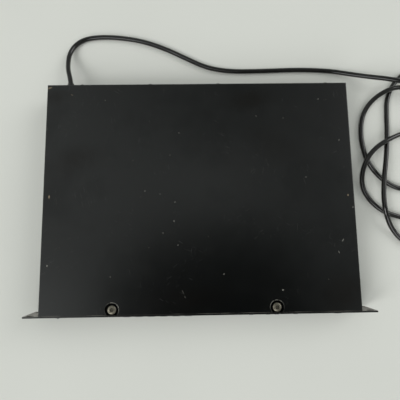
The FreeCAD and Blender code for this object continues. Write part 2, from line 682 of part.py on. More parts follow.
def fuse():
    back = rear_face + fuse_flange + cap_gap - cap_neck - 0.1
    glass = rod(V(fuse_x, back - fuse_length + fuse_cap_length, fuse_z), fuse_radius - 0.3,
                fuse_length - 2 * fuse_cap_length, Y)
    ends = [rod(V(fuse_x, y, fuse_z), fuse_radius, fuse_cap_length, Y)
            for y in (back - fuse_length, back - fuse_cap_length)]
    return Part.makeCompound([glass] + ends)


# ---- rear sockets ----
jack_z = main_top + jack_height / 2
jack_places = [jack_x + i * jack_pitch for i in range(jack_count)]
socket_width, socket_height, socket_depth = 20.0, 20.0, 15.0
socket_z = main_top + socket_height / 2
socket_nose_radius, socket_ring_outer, socket_ring_inner, socket_ring_depth = 8.6, 7.4, 6.2, 7.0
pin_circle_radius, pin_hole_radius = 4.9, 0.8
nut_across_flats, nut_thickness, nut_fit = 13.0, 2.4, 0.05
lever_width, lever_height, lever_reach = 3.6, 3.4, 2.6


def jack_bodies():
    out = []
    mouth = rear_face + bushing_reach
    for x in jack_places:
        body = joined(plate(x, jack_width, rear_inner - jack_depth, rear_inner, jack_z, jack_height),
                      rod(V(x, rear_inner - 0.1, jack_z), bushing_radius, mouth - rear_inner + 0.1, Y))
        out.append(body.cut(rod(V(x, mouth - jack_bore_depth, jack_z), jack_bore_radius, jack_bore_depth + 1, Y)))
    return Part.makeCompound(out)


def jack_nuts():
    return Part.makeCompound([
        hex_rod(V(x, rear_face, jack_z), nut_across_flats, nut_thickness, Y)
        .cut(rod(V(x, rear_face - 1, jack_z), bushing_radius + nut_fit, nut_thickness + 2, Y))
        for x in jack_places])


def data_sockets():
    """Round five-pin sockets: a ring groove for the plug's shell and five pin holes."""
    out = []
    for x in data_socket_x:
        body = joined(plate(x, socket_width, rear_inner - socket_depth, rear_inner, socket_z, socket_height),
                      rod(V(x, rear_inner - 0.1, socket_z), socket_nose_radius, tray_sheet + 0.1, Y))
        ring = rod(V(x, rear_face - socket_ring_depth, socket_z), socket_ring_outer, socket_ring_depth + 1, Y)
        core = rod(V(x, rear_face - socket_ring_depth, socket_z), socket_ring_inner, socket_ring_depth + 1, Y)
        holes = []
        for i in range(5):
            angle = math.radians(45 * i)
            centre = V(x + pin_circle_radius * math.cos(angle), rear_face - socket_ring_depth,
                       socket_z - 1 + pin_circle_radius * math.sin(angle) - 1)
            holes.append(rod(centre, pin_hole_radius, socket_ring_depth + 1, Y))
        out.append(body.cut(ring.cut(core)).cut(Part.makeCompound(holes)))
    return Part.makeCompound(out)


level_width, level_depth = 16.0, 9.0


def level_switch_body():
    body = plate(level_switch_x, level_width, rear_inner - level_depth, rear_inner, jack_z, jack_height)
    track = plate(level_switch_x, lever_width + lever_travel + 2 * control_gap, rear_inner - 4.0, rear_inner + 1,
                  jack_z, lever_height + 2 * control_gap)
    return body.cut(track)


def level_switch_lever():
    left = level_switch_x - lever_travel / 2
    return plate(left, lever_width, rear_inner - 4.0 + control_gap, rear_face + lever_reach, jack_z, lever_height)


# ---- wiring ----
def tube_path(points):
    """Straight runs joined by tangent arcs, each as large as its two runs allow. Returns (wire, radii)."""
    points = [V(*p) for p in points]
    edges, radii, start = [], [], points[0]
    for a, b, c in zip(points, points[1:], points[2:]):
        before, after = (a - b), (c - b)
        turn = math.pi - before.getAngle(after)
        setback = 0.45 * min(before.Length, after.Length)
        radii.append(setback / math.tan(turn / 2))
        first, last = b + before.normalize() * setback, b + after.normalize() * setback
        toward = (before + after).normalize()
        middle = b + toward * (radii[-1] / math.cos(turn / 2) - radii[-1])
        edges += [Part.LineSegment(start, first).toShape(), Part.Arc(first, middle, last).toShape()]
        start = last
    edges.append(Part.LineSegment(start, points[-1]).toShape())
    return Part.Wire(edges), radii


def tube(points, diameter, name, least_radius):
    """Round tube along a path. Prints its length and tightest bend, and checks its volume."""
    path, radii = tube_path(points)
    ring = Part.Wire(Part.makeCircle(diameter / 2, V(*points[0]), V(*points[1]) - V(*points[0])))
    solid = path.makePipeShell([ring], True, True)
    expected = math.pi * diameter ** 2 / 4 * path.Length
    print("%s: length %.0f, bend radii %s" % (name, path.Length, " ".join("%.0f" % r for r in radii)))
    print("%s: volume is %.4f of section times length" % (name, solid.Volume / expected))
    if min(radii) < least_radius:
        print("%s: bend radius %.1f is under %.1f" % (name, min(radii), least_radius))
    return solid


wire_diameter = 2.0
wire_drop = floor_top + 3.0


def mains_wires():
    """Insulated wires from the strain relief to the fuse, from the fuse to the power switch, and on."""
    tabs_y = panel_front + switch_depth + tab_length
    relief_y = rear_inner - relief_inner
    fuse_y = rear_inner - fuse_depth - tab_length
    left = -tray_half + tray_sheet + 6
    to_fuse = [(cord_x, relief_y, mid_z), (cord_x + 1, relief_y - 18, mid_z - 2),
               (cord_x + 12, relief_y - 34, mid_z - 3), (fuse_x - 14, fuse_y - 18, mid_z - 2),
               (fuse_x - 2, fuse_y - 14, mid_z - 1), (fuse_x, fuse_y, mid_z)]
    along = [(left + 7, relief_y, mid_z - 4), (left + 6, relief_y - 16, mid_z - 8),
             (left + 1, relief_y - 40, wire_drop + 2), (left, rear_inner - 90, wire_drop),
             (left + 2, front_y + 110, wire_drop), (left + 1, front_y + 60, wire_drop + 2),
             (rocker_x - 8, tabs_y + 16, mid_z - 7), (rocker_x - 6, tabs_y, mid_z - 3.4)]
    onward = [(rocker_x + 6, tabs_y, mid_z - 3.4), (rocker_x + 8, tabs_y + 18, mid_z - 8),
              (rocker_x + 18, front_y + 80, wire_drop + 2), (transformer_x - 12, front_y + 125, wire_drop + 4),
              (transformer_x - 6, transformer_y - core_length / 2 - 4, core_bottom - 3)]
    return Part.makeCompound([tube(points, wire_diameter, "mains wire", 2 * wire_diameter)
                              for points in (to_fuse, along, onward)])


ribbon_x, ribbon_width, ribbon_thickness, ribbon_bend = 110.0, 26.0, 0.9, 5.0
header_length, header_depth, header_height = 30.0, 6.0, 8.0


def ribbon_cable():
    """Flat cable from the front board's header down to the main board's header, with both plugs."""
    z = mid_z + 4
    header_y = main_front + 12
    upper = plate(ribbon_x, header_length, board_back, board_back + header_height, z, header_depth)
    lower = block(ribbon_x - header_length / 2, ribbon_x + header_length / 2, header_y - header_depth / 2,
                  header_y + header_depth / 2, main_top, main_top + header_height)
    half = ribbon_thickness / 2
    start, end = board_back + header_height, main_top + header_height
    flat = block(ribbon_x - ribbon_width / 2, ribbon_x + ribbon_width / 2, start, header_y + half, z - half, z + half)
    drop = block(ribbon_x - ribbon_width / 2, ribbon_x + ribbon_width / 2, header_y - half, header_y + half, end,
                 z + half)
    band = joined(flat, drop)
    outer = [e for e in long_edges(band, X, ribbon_width - 1)
             if abs(e.CenterOfMass.y - header_y - half) < 0.01 and abs(e.CenterOfMass.z - z - half) < 0.01]
    band = band.makeFillet(ribbon_bend, outer).copy()
    inner = [e for e in long_edges(band, X, ribbon_width - 1)
             if abs(e.CenterOfMass.y - header_y + half) < 0.01 and abs(e.CenterOfMass.z - z + half) < 0.01]
    band = band.makeFillet(ribbon_bend - ribbon_thickness, inner)
    return Part.makeCompound([upper, lower, band])


# ---- mains lead ----
relief_inner, relief_outer = 8.0, 13.0           # inside and outside the rear panel
relief_lean = math.radians(9)                    # the lead pulls its bush over to the left
relief_waist_radius, relief_flange_radius, relief_tip_radius = 5.6, 7.6, 4.4
relief_flange = 2.2

relief_axis = V(-math.sin(relief_lean), math.cos(relief_lean), 0)
relief_tip = V(cord_x, rear_face, mid_z) + relief_axis * relief_outer

# Route of the lead's centre line, chosen point by point: out of the rear, down to the floor, along
# behind the unit, and in three loose loops at its right, each laid over the next.
cord_rest = 3.7                   # centre of a stretch that lies on the floor
cord_over = 14.8                  # centre of a stretch that passes over another
cord_route = [
    tuple(relief_tip), (-195.5, 187, 24.1), (-200.4, 201.5, 19.6),
    (-203.2, 217.5, 13.2), (-203.4, 235, 7.8), (-196, 251.8, 4.6), (-180.5, 262.7, cord_rest),
    (-157, 266.1, cord_rest), (-127, 265, cord_rest), (-88, 258.6, cord_rest), (-50, 244.5, cord_rest),
    (-17, 227.7, cord_rest), (14, 212.3, cord_rest), (50, 205.3, cord_rest), (98, 205.2, cord_rest),
    (158, 207.4, cord_rest), (211, 205.3, cord_rest), (248, 197, 7), (273, 189.3, 14), (295, 183, 21),
    (318, 177.5, 23), (344, 173, 21), (371, 163, 14), (396, 146, 6.5), (418, 121, cord_rest),
    (430, 88, cord_rest), (433, 50, cord_rest), (428, 14, 8), (419, -13, cord_over), (405, -41, cord_over),
    (384, -64, 8), (357, -79, cord_rest), (329, -81, cord_rest), (306, -68.5, cord_rest),
    (289, -48.5, 7.5), (279.5, -26.5, cord_over), (278.3, -2, cord_over), (281, 23, cord_over),
    (285.5, 48, cord_over), (293, 74, 8), (298, 101, cord_rest), (299.3, 129, cord_rest),
    (301.5, 155, cord_rest), (312, 178.5, cord_rest), (331, 198, cord_rest), (357, 212, cord_rest),
    (389, 214, cord_rest), (420, 203, cord_rest), (445, 181, cord_rest), (461, 150, cord_rest),
    (469, 112, cord_rest), (470, 73, cord_rest), (463, 36, cord_rest), (448, 4, cord_rest),
    (425, -22, cord_rest), (396, -38, cord_rest), (364, -43.5, cord_rest), (333, -40, cord_rest),
    (306, -32.8, cord_rest), (281, -24, cord_rest), (262, -7, cord_rest), (251.5, 14, 4.5),
    (250.5, 36, 9.5), (258, 58, cord_over), (274, 75.5, cord_over), (295, 87.5, cord_over),
    (316, 97, 9), (337, 102, 4.2), (356, 98, cord_rest), (369, 83, cord_rest), (373, 62, cord_rest),
    (367, 41, cord_rest), (353, 24, cord_rest), (333, 13, cord_rest), (312, 9.5, cord_rest),
    (291, 20, cord_rest), (272, 39, cord_rest), (260.5, 62, cord_rest), (256, 88, cord_rest),
    (257, 114, cord_rest), (264, 137, 4.2), (278, 155, 9), (297, 166.5, cord_over), (318, 172.5, 13.5),
    (338, 171.5, 8.5), (354, 163, 5), (366, 149, 6.5), (373, 133.6, 9.8)]
plug_axis_end = (391.0, 94.6, 12.2)               # a point further along the plug's axis
plug_relief_length, plug_length, plug_width, plug_height = 22.0, 38.0, 27.0, 22.0
blade_length, blade_width, blade_thickness, blade_spacing = 18.0, 6.3, 1.5, 12.7
earth_radius, earth_length, earth_rise = 2.4, 21.0, 5.5


def strain_relief():
    """Tapered bush, gripped by the rear panel, that the lead comes out of."""
    start, flange_face = rear_inner - relief_inner, rear_face + relief_flange
    tail = cone(V(cord_x, rear_face, mid_z), relief_waist_radius + 1.0, relief_tip_radius, relief_outer, relief_axis)
    tail = tail.cut(block(cord_x - 20, cord_x + 20, rear_face - 20, flange_face - 0.5, mid_z - 20, mid_z + 20))
    return joined(
        rod(V(cord_x, start, mid_z), relief_waist_radius, relief_inner + tray_sheet, Y),
        rod(V(cord_x, rear_face, mid_z), relief_flange_radius, relief_flange, Y), tail)


def power_cord():
    return tube(cord_route, cord_diameter, "mains lead", 4 * cord_diameter)


def along_plug(shape):
    """A shape made along +X from the origin, moved to the end of the lead."""
    start, end = V(*cord_route[-1]), V(*plug_axis_end)
    out = shape.copy()
    out.Placement = FreeCAD.Placement(start, FreeCAD.Rotation(X, V(end.x - start.x, end.y - start.y, 0)))
    return out


def plug_body():
    """Moulded plug with a tapered tail."""
    tail = cone(V(0, 0, 0), relief_tip_radius, 6.5, plug_relief_length, X)
    neck = plug_relief_length
    grip = block(neck - 0.1, neck + plug_length, -plug_width / 2, plug_width / 2, -cord_end_z + 0.4,
                 plug_height - cord_end_z + 0.4)
    grip = grip.makeFillet(3.0, long_edges(grip, X, plug_length - 1))
    return along_plug(joined(tail, grip))


cord_end_z = cord_route[-1][2]


def plug_pins():
    """Two flat blades and a round earth pin."""
    face = plug_relief_length + plug_length
    middle = plug_height / 2 - cord_end_z + 0.4
    blades = [block(face, face + blade_length, sy * blade_spacing / 2 - blade_thickness / 2,
                    sy * blade_spacing / 2 + blade_thickness / 2, middle - earth_rise / 2 - blade_width / 2,
                    middle - earth_rise / 2 + blade_width / 2) for sy in (-1, 1)]
    earth = rod(V(face, 0, middle + earth_rise), earth_radius, earth_length, X)
    return Part.makeCompound([along_plug(b) for b in blades] + [along_plug(earth)])


nodes = {
    "chassis_tray": chassis_tray, "rear_panel": rear_panel, "top_cover": top_cover, "front_panel": front_panel,
    "cover_front_screws": cover_front_screws, "cover_side_screws": cover_side_screws,
    "cover_rear_screws": cover_rear_screws, "rear_panel_screws": rear_panel_screws,
    "front_panel_screws": front_panel_screws, "rubber_feet": rubber_feet, "foot_screws": foot_screws,
    "power_rocker": power_rocker, "power_switch_body": power_switch_body,
    "button_switches": button_switches, "indicator_lamps": indicator_lamps,
    "display_window": display_window, "display_module": display_module,
    "input_knob": lambda: knob(input_knob_x, input_knob_radius, 18),
    "output_knob": lambda: knob(output_knob_x, output_knob_radius, 30),
    "input_pot_shaft": lambda: pot_shaft(input_knob_x), "output_pot_shaft": lambda: pot_shaft(output_knob_x),
    "pot_bodies": pot_bodies, "front_board": front_board, "front_board_spacers": front_board_spacers,
    "front_board_screws": front_board_screws, "main_board": main_board, "board_standoffs": board_standoffs,
    "board_screws": board_screws, "logic_chips": logic_chips, "capacitors": capacitors, "heatsink": heatsink,
    "regulators": regulators, "transformer_core": transformer_core, "transformer_winding": transformer_winding,
    "transformer_bracket": transformer_bracket, "transformer_screws": transformer_screws,
    "fuse_holder": fuse_holder, "fuse_cap": fuse_cap, "fuse": fuse, "jack_bodies": jack_bodies,
    "jack_nuts": jack_nuts, "data_sockets": data_sockets, "level_switch_body": level_switch_body,
    "level_switch_lever": level_switch_lever, "mains_wires": mains_wires, "ribbon_cable": ribbon_cable,
    "strain_relief": strain_relief, "power_cord": power_cord, "plug_body": plug_body, "plug_pins": plug_pins,
}
for button_name, centre_x, cap_width, cap_height in buttons:
    nodes[button_name] = lambda x=centre_x, w=cap_width, h=cap_height: button(x, w, h)

os.makedirs("parts", exist_ok=True)
for name, make in nodes.items():
    shape = make()
    if not shape.isValid():
        print("%s: shape is not valid" % name)
    shape.exportStep("parts/%s.step" % name)
print("%d nodes" % len(nodes))
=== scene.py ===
import math

import bmesh
import bpy
from bpy.props import FloatProperty, FloatVectorProperty, IntProperty, PointerProperty
from bpy.types import Operator, Panel, PropertyGroup
from mathutils import Matrix, Vector


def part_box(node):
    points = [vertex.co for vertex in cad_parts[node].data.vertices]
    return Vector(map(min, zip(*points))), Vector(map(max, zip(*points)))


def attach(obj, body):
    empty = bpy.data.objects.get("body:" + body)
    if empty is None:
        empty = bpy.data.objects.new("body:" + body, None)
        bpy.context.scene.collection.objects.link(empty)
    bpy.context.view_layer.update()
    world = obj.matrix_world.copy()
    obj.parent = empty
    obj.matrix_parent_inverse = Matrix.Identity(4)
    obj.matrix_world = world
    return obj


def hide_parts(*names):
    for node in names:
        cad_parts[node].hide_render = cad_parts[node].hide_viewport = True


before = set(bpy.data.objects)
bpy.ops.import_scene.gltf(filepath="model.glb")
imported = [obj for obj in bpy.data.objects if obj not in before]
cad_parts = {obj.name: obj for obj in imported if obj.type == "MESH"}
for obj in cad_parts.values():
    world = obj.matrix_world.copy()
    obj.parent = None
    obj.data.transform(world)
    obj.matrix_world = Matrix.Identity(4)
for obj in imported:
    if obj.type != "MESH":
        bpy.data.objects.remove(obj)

bl_info = {
    "name": "Rack Effects Unit",
    "version": (1, 0, 0),
    "blender": (4, 5, 0),
    "location": "3D View > Sidebar > Rack Unit",
    "description": "Finishes a one-space rack effects unit: enamel, fittings, mains lead and stage",
    "category": "Object",
}

ROOT = "unit"
CASE_LOW, CASE_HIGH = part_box("top_cover")
PANEL_LOW, PANEL_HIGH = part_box("front_panel")


# ---- settings ----
def colour(name, description, default):
    """Colour that a user may change."""
    return FloatVectorProperty(name=name, description=description, default=default, size=3,
                               min=0.0, max=1.0, subtype="COLOR")


def length(name, description, default):
    """Length in metres that a user may change."""
    return FloatProperty(name=name, description=description, default=default, min=0.0,
                         unit="LENGTH", subtype="DISTANCE", precision=4)


class RackUnitFinishes(PropertyGroup):
    case_enamel: colour("Case enamel", "Satin enamel on the cover, tray and rear", (0.0010, 0.0013, 0.0012))
    panel_paint: colour("Panel paint", "Paint on the front panel", (0.0018, 0.0020, 0.0019))
    primer: colour("Primer", "What shows where the enamel has chipped", (0.17, 0.165, 0.145))
    rust: colour("Rust", "Rust in the deepest chips", (0.20, 0.155, 0.10))
    zinc: colour("Yellow zinc", "Plating on the two large cover screws", (0.205, 0.19, 0.152))
    switch_plastic: colour("Switch plastic", "Switches, sockets and fuse holder", (0.017, 0.017, 0.018))
    button_plastic: colour("Button plastic", "Caps of the front buttons", (0.11, 0.11, 0.12))
    knob_plastic: colour("Knob plastic", "Both knobs", (0.014, 0.014, 0.015))
    print_ink: colour("Printed marks", "Pointer lines and dial marks", (0.62, 0.62, 0.60))
    lamp_plastic: colour("Lamp plastic", "The two indicator lamps", (0.50, 0.03, 0.02))
    window_plastic: colour("Window plastic", "Tinted display window", (0.055, 0.006, 0.005))
    solder_mask: colour("Solder mask", "Coating of the circuit boards", (0.016, 0.115, 0.045))
    lead_plastic: colour("Lead plastic", "Sheath of the mains lead and its plug", (0.0040, 0.0036, 0.0031))


class RackUnitLead(PropertyGroup):
    diameter: length("Diameter", "Outer diameter of the mains lead", 0.0072)
    rib_count: IntProperty(name="Tail ribs", description="Ribs on the plug's tapered tail", default=7, min=2,
                           max=14)
    grip_ridges: IntProperty(name="Grip ridges", description="Ridges on each side of the plug", default=6,
                             min=0, max=12)
    blade: length("Blade length", "How far the flat blades stand out of the plug", 0.018)


class RackUnitFittings(PropertyGroup):
    recess_width: FloatProperty(name="Recess width", description="Cross recess, as a share of the screw head",
                                default=0.56, min=0.2, max=0.8, subtype="FACTOR")
    recess_slot: FloatProperty(name="Recess slot", description="Width of a recess arm, as a share of the head",
                               default=0.19, min=0.05, max=0.4, subtype="FACTOR")
    screw_seed: IntProperty(name="Screw seed", description="Picks how far each screw is turned", default=4,
                            min=0)
    dial_marks: IntProperty(name="Dial marks", description="Marks around each knob", default=11, min=3, max=41)
    dial_sweep: FloatProperty(name="Dial sweep", description="Angle from the first dial mark to the last",
                              default=math.radians(300), min=0.1, max=math.tau, subtype="ANGLE",
                              unit="ROTATION")
    knob_ribs: IntProperty(name="Knob ribs", description="Ribs around the larger knob", default=36, min=8,
                           max=80)


class RackUnitStage(PropertyGroup):
    floor: colour("Floor", "Plain floor", (0.635, 0.64, 0.60))
    lens: FloatProperty(name="Lens", description="Focal length of the camera", default=32.85, min=10.0,
                        max=200.0, unit="CAMERA")
    key: FloatProperty(name="Key lamp", description="Strength of the soft lamp at the left", default=1.1,
                       min=0.0)
    fill: FloatProperty(name="Fill lamps", description="Strength of each of the two weaker lamps", default=0.85,
                        min=0.0)
    horizon: FloatProperty(name="Horizon", description="Brightness of the surroundings near the horizon",
                           default=0.34, min=0.0, max=2.0)
    left_side: FloatProperty(name="Upper left", description="Brightness of the surroundings high at the left",
                             default=0.70, min=0.0, max=2.0)
    right_side: FloatProperty(name="Upper right", description="Brightness of the surroundings high at the right",
                              default=0.51, min=0.0, max=2.0)


class RackUnitSettings(PropertyGroup):
    finishes: PointerProperty(type=RackUnitFinishes)
    lead: PointerProperty(type=RackUnitLead)
    fittings: PointerProperty(type=RackUnitFittings)
    stage: PointerProperty(type=RackUnitStage)


def settings():
    """The sizes and colours that a user may change."""
    return bpy.context.scene.rack_unit


# ---- node helpers ----
def node(tree, kind, inputs=None, **options):
    """Adds a node. Inputs are given by name or number, as values, sockets or nodes (their first output)."""
    made = tree.nodes.new(kind)
    made.location = (180 * len(tree.nodes), 0)
    for name, value in options.items():
        setattr(made, name, value)
    for name, value in (inputs or {}).items():
        socket = made.inputs[name]
        if isinstance(value, bpy.types.Node):
            value = value.outputs[0]
        if isinstance(value, bpy.types.NodeSocket):
            tree.links.new(value, socket)
        else:
            socket.default_value = value
    return made


def maths(tree, operation, *values, clamp=False):
    """Output of a Math node."""
    made = node(tree, "ShaderNodeMath", dict(enumerate(values)), operation=operation, use_clamp=clamp)
    return made.outputs[0]


def times(tree, first, second):
    """Product of two values."""
    return maths(tree, "MULTIPLY", first, second)


def scaled(tree, value, share, start):
    """Value times a share, on top of a start."""
    return maths(tree, "MULTIPLY_ADD", value, share, start)


def largest(tree, *values):
    """Greatest of several values."""
    found = values[0]
    for value in values[1:]:
        found = maths(tree, "MAXIMUM", found, value)
    return found


def vector_maths(tree, operation, *values):
    """Vector Math node."""
    return node(tree, "ShaderNodeVectorMath", dict(enumerate(values)), operation=operation)


def vector(tree, **parts):
    """Vector of X, Y and Z."""
    return node(tree, "ShaderNodeCombineXYZ", parts)


def axes(tree, place):
    """X, Y and Z of a vector."""
    return node(tree, "ShaderNodeSeparateXYZ", {0: place}).outputs


def facing(tree):
    """X, Y and Z of the way the surface faces."""
    return axes(tree, node(tree, "ShaderNodeNewGeometry").outputs["Normal"])


def ramp(tree, value, low, high, to_low=0.0, to_high=1.0):
    """Value taken from the range low..high to the range to_low..to_high, with soft ends."""
    made = node(tree, "ShaderNodeMapRange", {"Value": value, "From Min": low, "From Max": high,
                                             "To Min": to_low, "To Max": to_high},
                interpolation_type="SMOOTHSTEP")
    return made.outputs[0]


def blended(tree, factor, first, second):
    """Colour that goes from the first to the second."""
    made = node(tree, "ShaderNodeMix", {"Factor": factor}, data_type="RGBA")
    for socket, value in ((made.inputs[6], first), (made.inputs[7], second)):
        if isinstance(value, bpy.types.NodeSocket):
            tree.links.new(value, socket)
        else:
            socket.default_value = (*value, 1.0)
    return made.outputs[2]


def shade(tint, share):
    """A tint made lighter or darker."""
    return [min(1.0, part * share) for part in tint]


def noise(tree, position, scale, detail=2.0, roughness=0.5):
    """Noise from 0 to 1."""
    return node(tree, "ShaderNodeTexNoise", {"Vector": position, "Scale": scale, "Detail": detail,
                                             "Roughness": roughness}).outputs["Fac"]


def patchy(tree, position, scale, detail, roughness, low, high, to_low=0.0, to_high=1.0):
    """Noise taken through a ramp."""
    return ramp(tree, noise(tree, position, scale, detail, roughness), low, high, to_low, to_high)


def relief(tree, height, distance, strength=1.0):
    """Normal of a surface that rises by a height times a distance."""
    made = node(tree, "ShaderNodeBump", {"Strength": strength, "Distance": distance, "Height": height})
    return made.outputs[0]


def new_group(kind, name, inputs, outputs):
    """Empty node group: the tree, its inputs by name, and the node that takes what it gives.

    Inputs are (name, socket type, default) and outputs (name, socket type)."""
    tree = bpy.data.node_groups.new(name, kind)
    for label, socket, default in inputs:
        item = tree.interface.new_socket(label, in_out="INPUT", socket_type="NodeSocket" + socket)
        if default is not None:
            item.default_value = default
    for label, socket in outputs:
        tree.interface.new_socket(label, in_out="OUTPUT", socket_type="NodeSocket" + socket)
    given = {socket.name: socket for socket in tree.nodes.new("NodeGroupInput").outputs}
    return tree, given, tree.nodes.new("NodeGroupOutput")


def shader_group(name, outputs, **inputs):
    """Empty group for materials. Every one takes a Position; the rest are numbers or vectors, by name."""
    kinds = [(label.replace("_", " "), "Vector" if isinstance(value, tuple) else "Float", value)
             for label, value in inputs.items()]
    return new_group("ShaderNodeTree", name, [("Position", "Vector", None)] + kinds, outputs)


def give(tree, made, **values):
    """Links what a group gives, and returns the group."""
    for name, value in values.items():
        tree.links.new(value, made.inputs[name])
    return tree


def effect(tree, build, inputs):
    """Places a shared effect in a material. The effect's group is built the first time it is asked for."""
    name = build.__name__
    group = bpy.data.node_groups.get(name) or build(name)
    return node(tree, "ShaderNodeGroup", inputs, node_tree=group)


# ---- shared effects ----
def grain(name):
    """Fine unevenness of a moulded or painted skin."""
    tree, given, made = shader_group(name, [("Normal", "Vector")], Scale=1500.0, Depth=0.00002, Coarse=0.3)
    fine = noise(tree, given["Position"], given["Scale"], 3.0, 0.6)
    wide = noise(tree, given["Position"], times(tree, given["Scale"], 0.12), 2.0)
    return give(tree, made, Normal=relief(tree, scaled(tree, wide, given["Coarse"], fine), given["Depth"]))


def skin(tree, position, scale, depth, coarse):
    """Normal of a fine-grained skin."""
    return effect(tree, grain, {"Position": position, "Scale": scale, "Depth": depth,
                                "Coarse": coarse}).outputs["Normal"]


def scratches(name):
    """Short hair scratches in several directions, gathered in patches."""
    tree, given, made = shader_group(name, [("Mask", "Float")], Scale=1.0, Amount=0.5)
    found = []
    for turn, offset in ((0.5, 0.0), (1.3, 3.0), (1.75, 5.0), (2.6, 7.0)):
        along = node(tree, "ShaderNodeMapping", {"Vector": given["Position"], "Location": (offset, offset, 0),
                                                 "Rotation": (0, 0, turn)})
        wander = node(tree, "ShaderNodeTexNoise", {"Vector": along, "Scale": 30.0}).outputs["Color"]
        bowed = vector_maths(tree, "MULTIPLY_ADD", wander, (0.006, 0.006, 0.006), along)
        lines = vector_maths(tree, "MULTIPLY", bowed, (55.0, 1500.0, 60.0))
        line = patchy(tree, lines, given["Scale"], 1.0, 0.5, 0.685, 0.77)
        found.append(times(tree, line, patchy(tree, along, 17.0, 3.0, 0.5, 0.54, 0.68)))
    return give(tree, made, Mask=times(tree, largest(tree, *found), given["Amount"]))


def specks(name):
    """Small separate dots of dirt or lint. Share is how many of the cells hold one."""
    tree, given, made = shader_group(name, [("Mask", "Float"), ("Tint", "Float")], Scale=120.0, Share=0.1,
                                     Size=0.1)
    ragged = node(tree, "ShaderNodeTexNoise", {"Vector": given["Position"], "Scale": 700.0}).outputs["Color"]
    bent = vector_maths(tree, "MULTIPLY_ADD", ragged, (0.0012, 0.0012, 0.0012), given["Position"])
    cells = node(tree, "ShaderNodeTexVoronoi", {"Vector": bent, "Scale": given["Scale"]})
    chance, size, tint = node(tree, "ShaderNodeSeparateColor", {"Color": cells.outputs["Color"]}).outputs
    chosen = maths(tree, "LESS_THAN", chance, given["Share"])
    size = times(tree, given["Size"], maths(tree, "ADD", size, 0.35))
    near = maths(tree, "LESS_THAN", cells.outputs["Distance"], size)
    return give(tree, made, Mask=times(tree, chosen, near), Tint=tint)


def edge_rub(name):
    """Wear along the edges of a box: how near a point is to the nearest edge, broken up by noise."""
    tree, given, made = shader_group(name, [("Mask", "Float")], Low=(0, 0, 0), High=(0, 0, 0), Width=0.0008,
                                     Amount=0.5)
    below = vector_maths(tree, "SUBTRACT", given["Position"], given["Low"])
    above = vector_maths(tree, "SUBTRACT", given["High"], given["Position"])
    a, b, c = axes(tree, vector_maths(tree, "MINIMUM", below, above))
    distance = largest(tree, maths(tree, "MINIMUM", a, b), maths(tree, "MINIMUM", largest(tree, a, b), c))
    uneven = noise(tree, given["Position"], 260.0, 4.0, 0.7)
    patches = patchy(tree, given["Position"], 24.0, 2.0, 0.5, 0.44, 0.62)
    reach = times(tree, given["Width"], times(tree, uneven, 2.4))
    near = ramp(tree, maths(tree, "DIVIDE", distance, reach), 0.55, 1.0, 1.0, 0.0)
    mask = times(tree, near, scaled(tree, patches, 0.85, 0.15))
    return give(tree, made, Mask=times(tree, mask, given["Amount"]))


def dish_wear(name):
    """Paint rubbed along the rim of a round dish, most on one side of it, where the lighter rim is also a painted
    highlight; and painted shade over the inside of the dish.
    """
    tree, given, made = shader_group(name, [("Rim", "Float"), ("Inside", "Float")], Centre=(0, 0, 0),
                                     Radius=0.01, Width=0.0005, Worn_Side=(1, 0, 0))
    out = vector_maths(tree, "SUBTRACT", given["Position"], given["Centre"])
    out = vector_maths(tree, "MULTIPLY", out, (1, 1, 0))
    reach = vector_maths(tree, "LENGTH", out).outputs["Value"]
    past = maths(tree, "DIVIDE", maths(tree, "SUBTRACT", reach, given["Radius"]), given["Width"])
    ring = ramp(tree, maths(tree, "ABSOLUTE", past), 0.5, 1.0, 1.0, 0.0)
    way = vector_maths(tree, "NORMALIZE", out)
    side = vector_maths(tree, "DOT_PRODUCT", way, given["Worn Side"]).outputs["Value"]
    # Most of the band lies on one side of the dish, where the lighter rim paints a highlight as well as wear.
    worn = ramp(tree, side, -0.1, 0.85, 0.12, 1.0)
    broken = patchy(tree, given["Position"], 420.0, 3.0, 0.6, 0.34, 0.56)
    # Inside is painted shade over the dish's floor, within the rim.
    return give(tree, made, Rim=times(tree, times(tree, ring, worn), broken),
                Inside=ramp(tree, past, -0.6, -0.2, 1.0, 0.0))


def mark(name):
    """One chip, scratch or rub on a level face: an uneven oval of given half sizes, turned about Z."""
    tree, given, made = shader_group(name, [("Mask", "Float")], Centre=(0, 0, 0), Half_Size=(0.001, 0.001, 1.0),
                                     Turn=(0, 0, 0), Softness=0.2)
    local = node(tree, "ShaderNodeMapping", {"Vector": given["Position"], "Location": given["Centre"],
                                             "Rotation": given["Turn"], "Scale": given["Half Size"]},
                 vector_type="TEXTURE")
    distance = vector_maths(tree, "LENGTH", vector_maths(tree, "MULTIPLY", local, (1, 1, 0))).outputs["Value"]
    uneven = noise(tree, given["Position"], 1300.0, 3.0, 0.7)
    edge = scaled(tree, uneven, 1.5, maths(tree, "SUBTRACT", distance, 0.75))
    outer, inner = (maths(tree, way, 1.0, given["Softness"]) for way in ("ADD", "SUBTRACT"))
    return give(tree, made, Mask=ramp(tree, edge, outer, inner))


# ---- finishes ----
def finish(name, build):
    """The finish of that name, built the first time it is asked for. Plain materials keep their own names."""
    made = bpy.data.materials.get(name + "_finish")
    if made is None:
        made = bpy.data.materials.new(name + "_finish")
        made.use_nodes = True
        tree = made.node_tree
        shader = tree.nodes["Principled BSDF"]
        position = node(tree, "ShaderNodeTexCoord").outputs["Object"]
        build(tree, shader, position)
    return made


def feed(tree, shader, **sockets):
    """Sets or links the shader's inputs, named with underscores for spaces."""
    for name, value in sockets.items():
        socket = shader.inputs[name.replace("_", " ")]
        if isinstance(value, bpy.types.NodeSocket):
            tree.links.new(value, socket)
        else:
            socket.default_value = (*value, 1.0) if socket.type == "RGBA" and len(value) == 3 else value


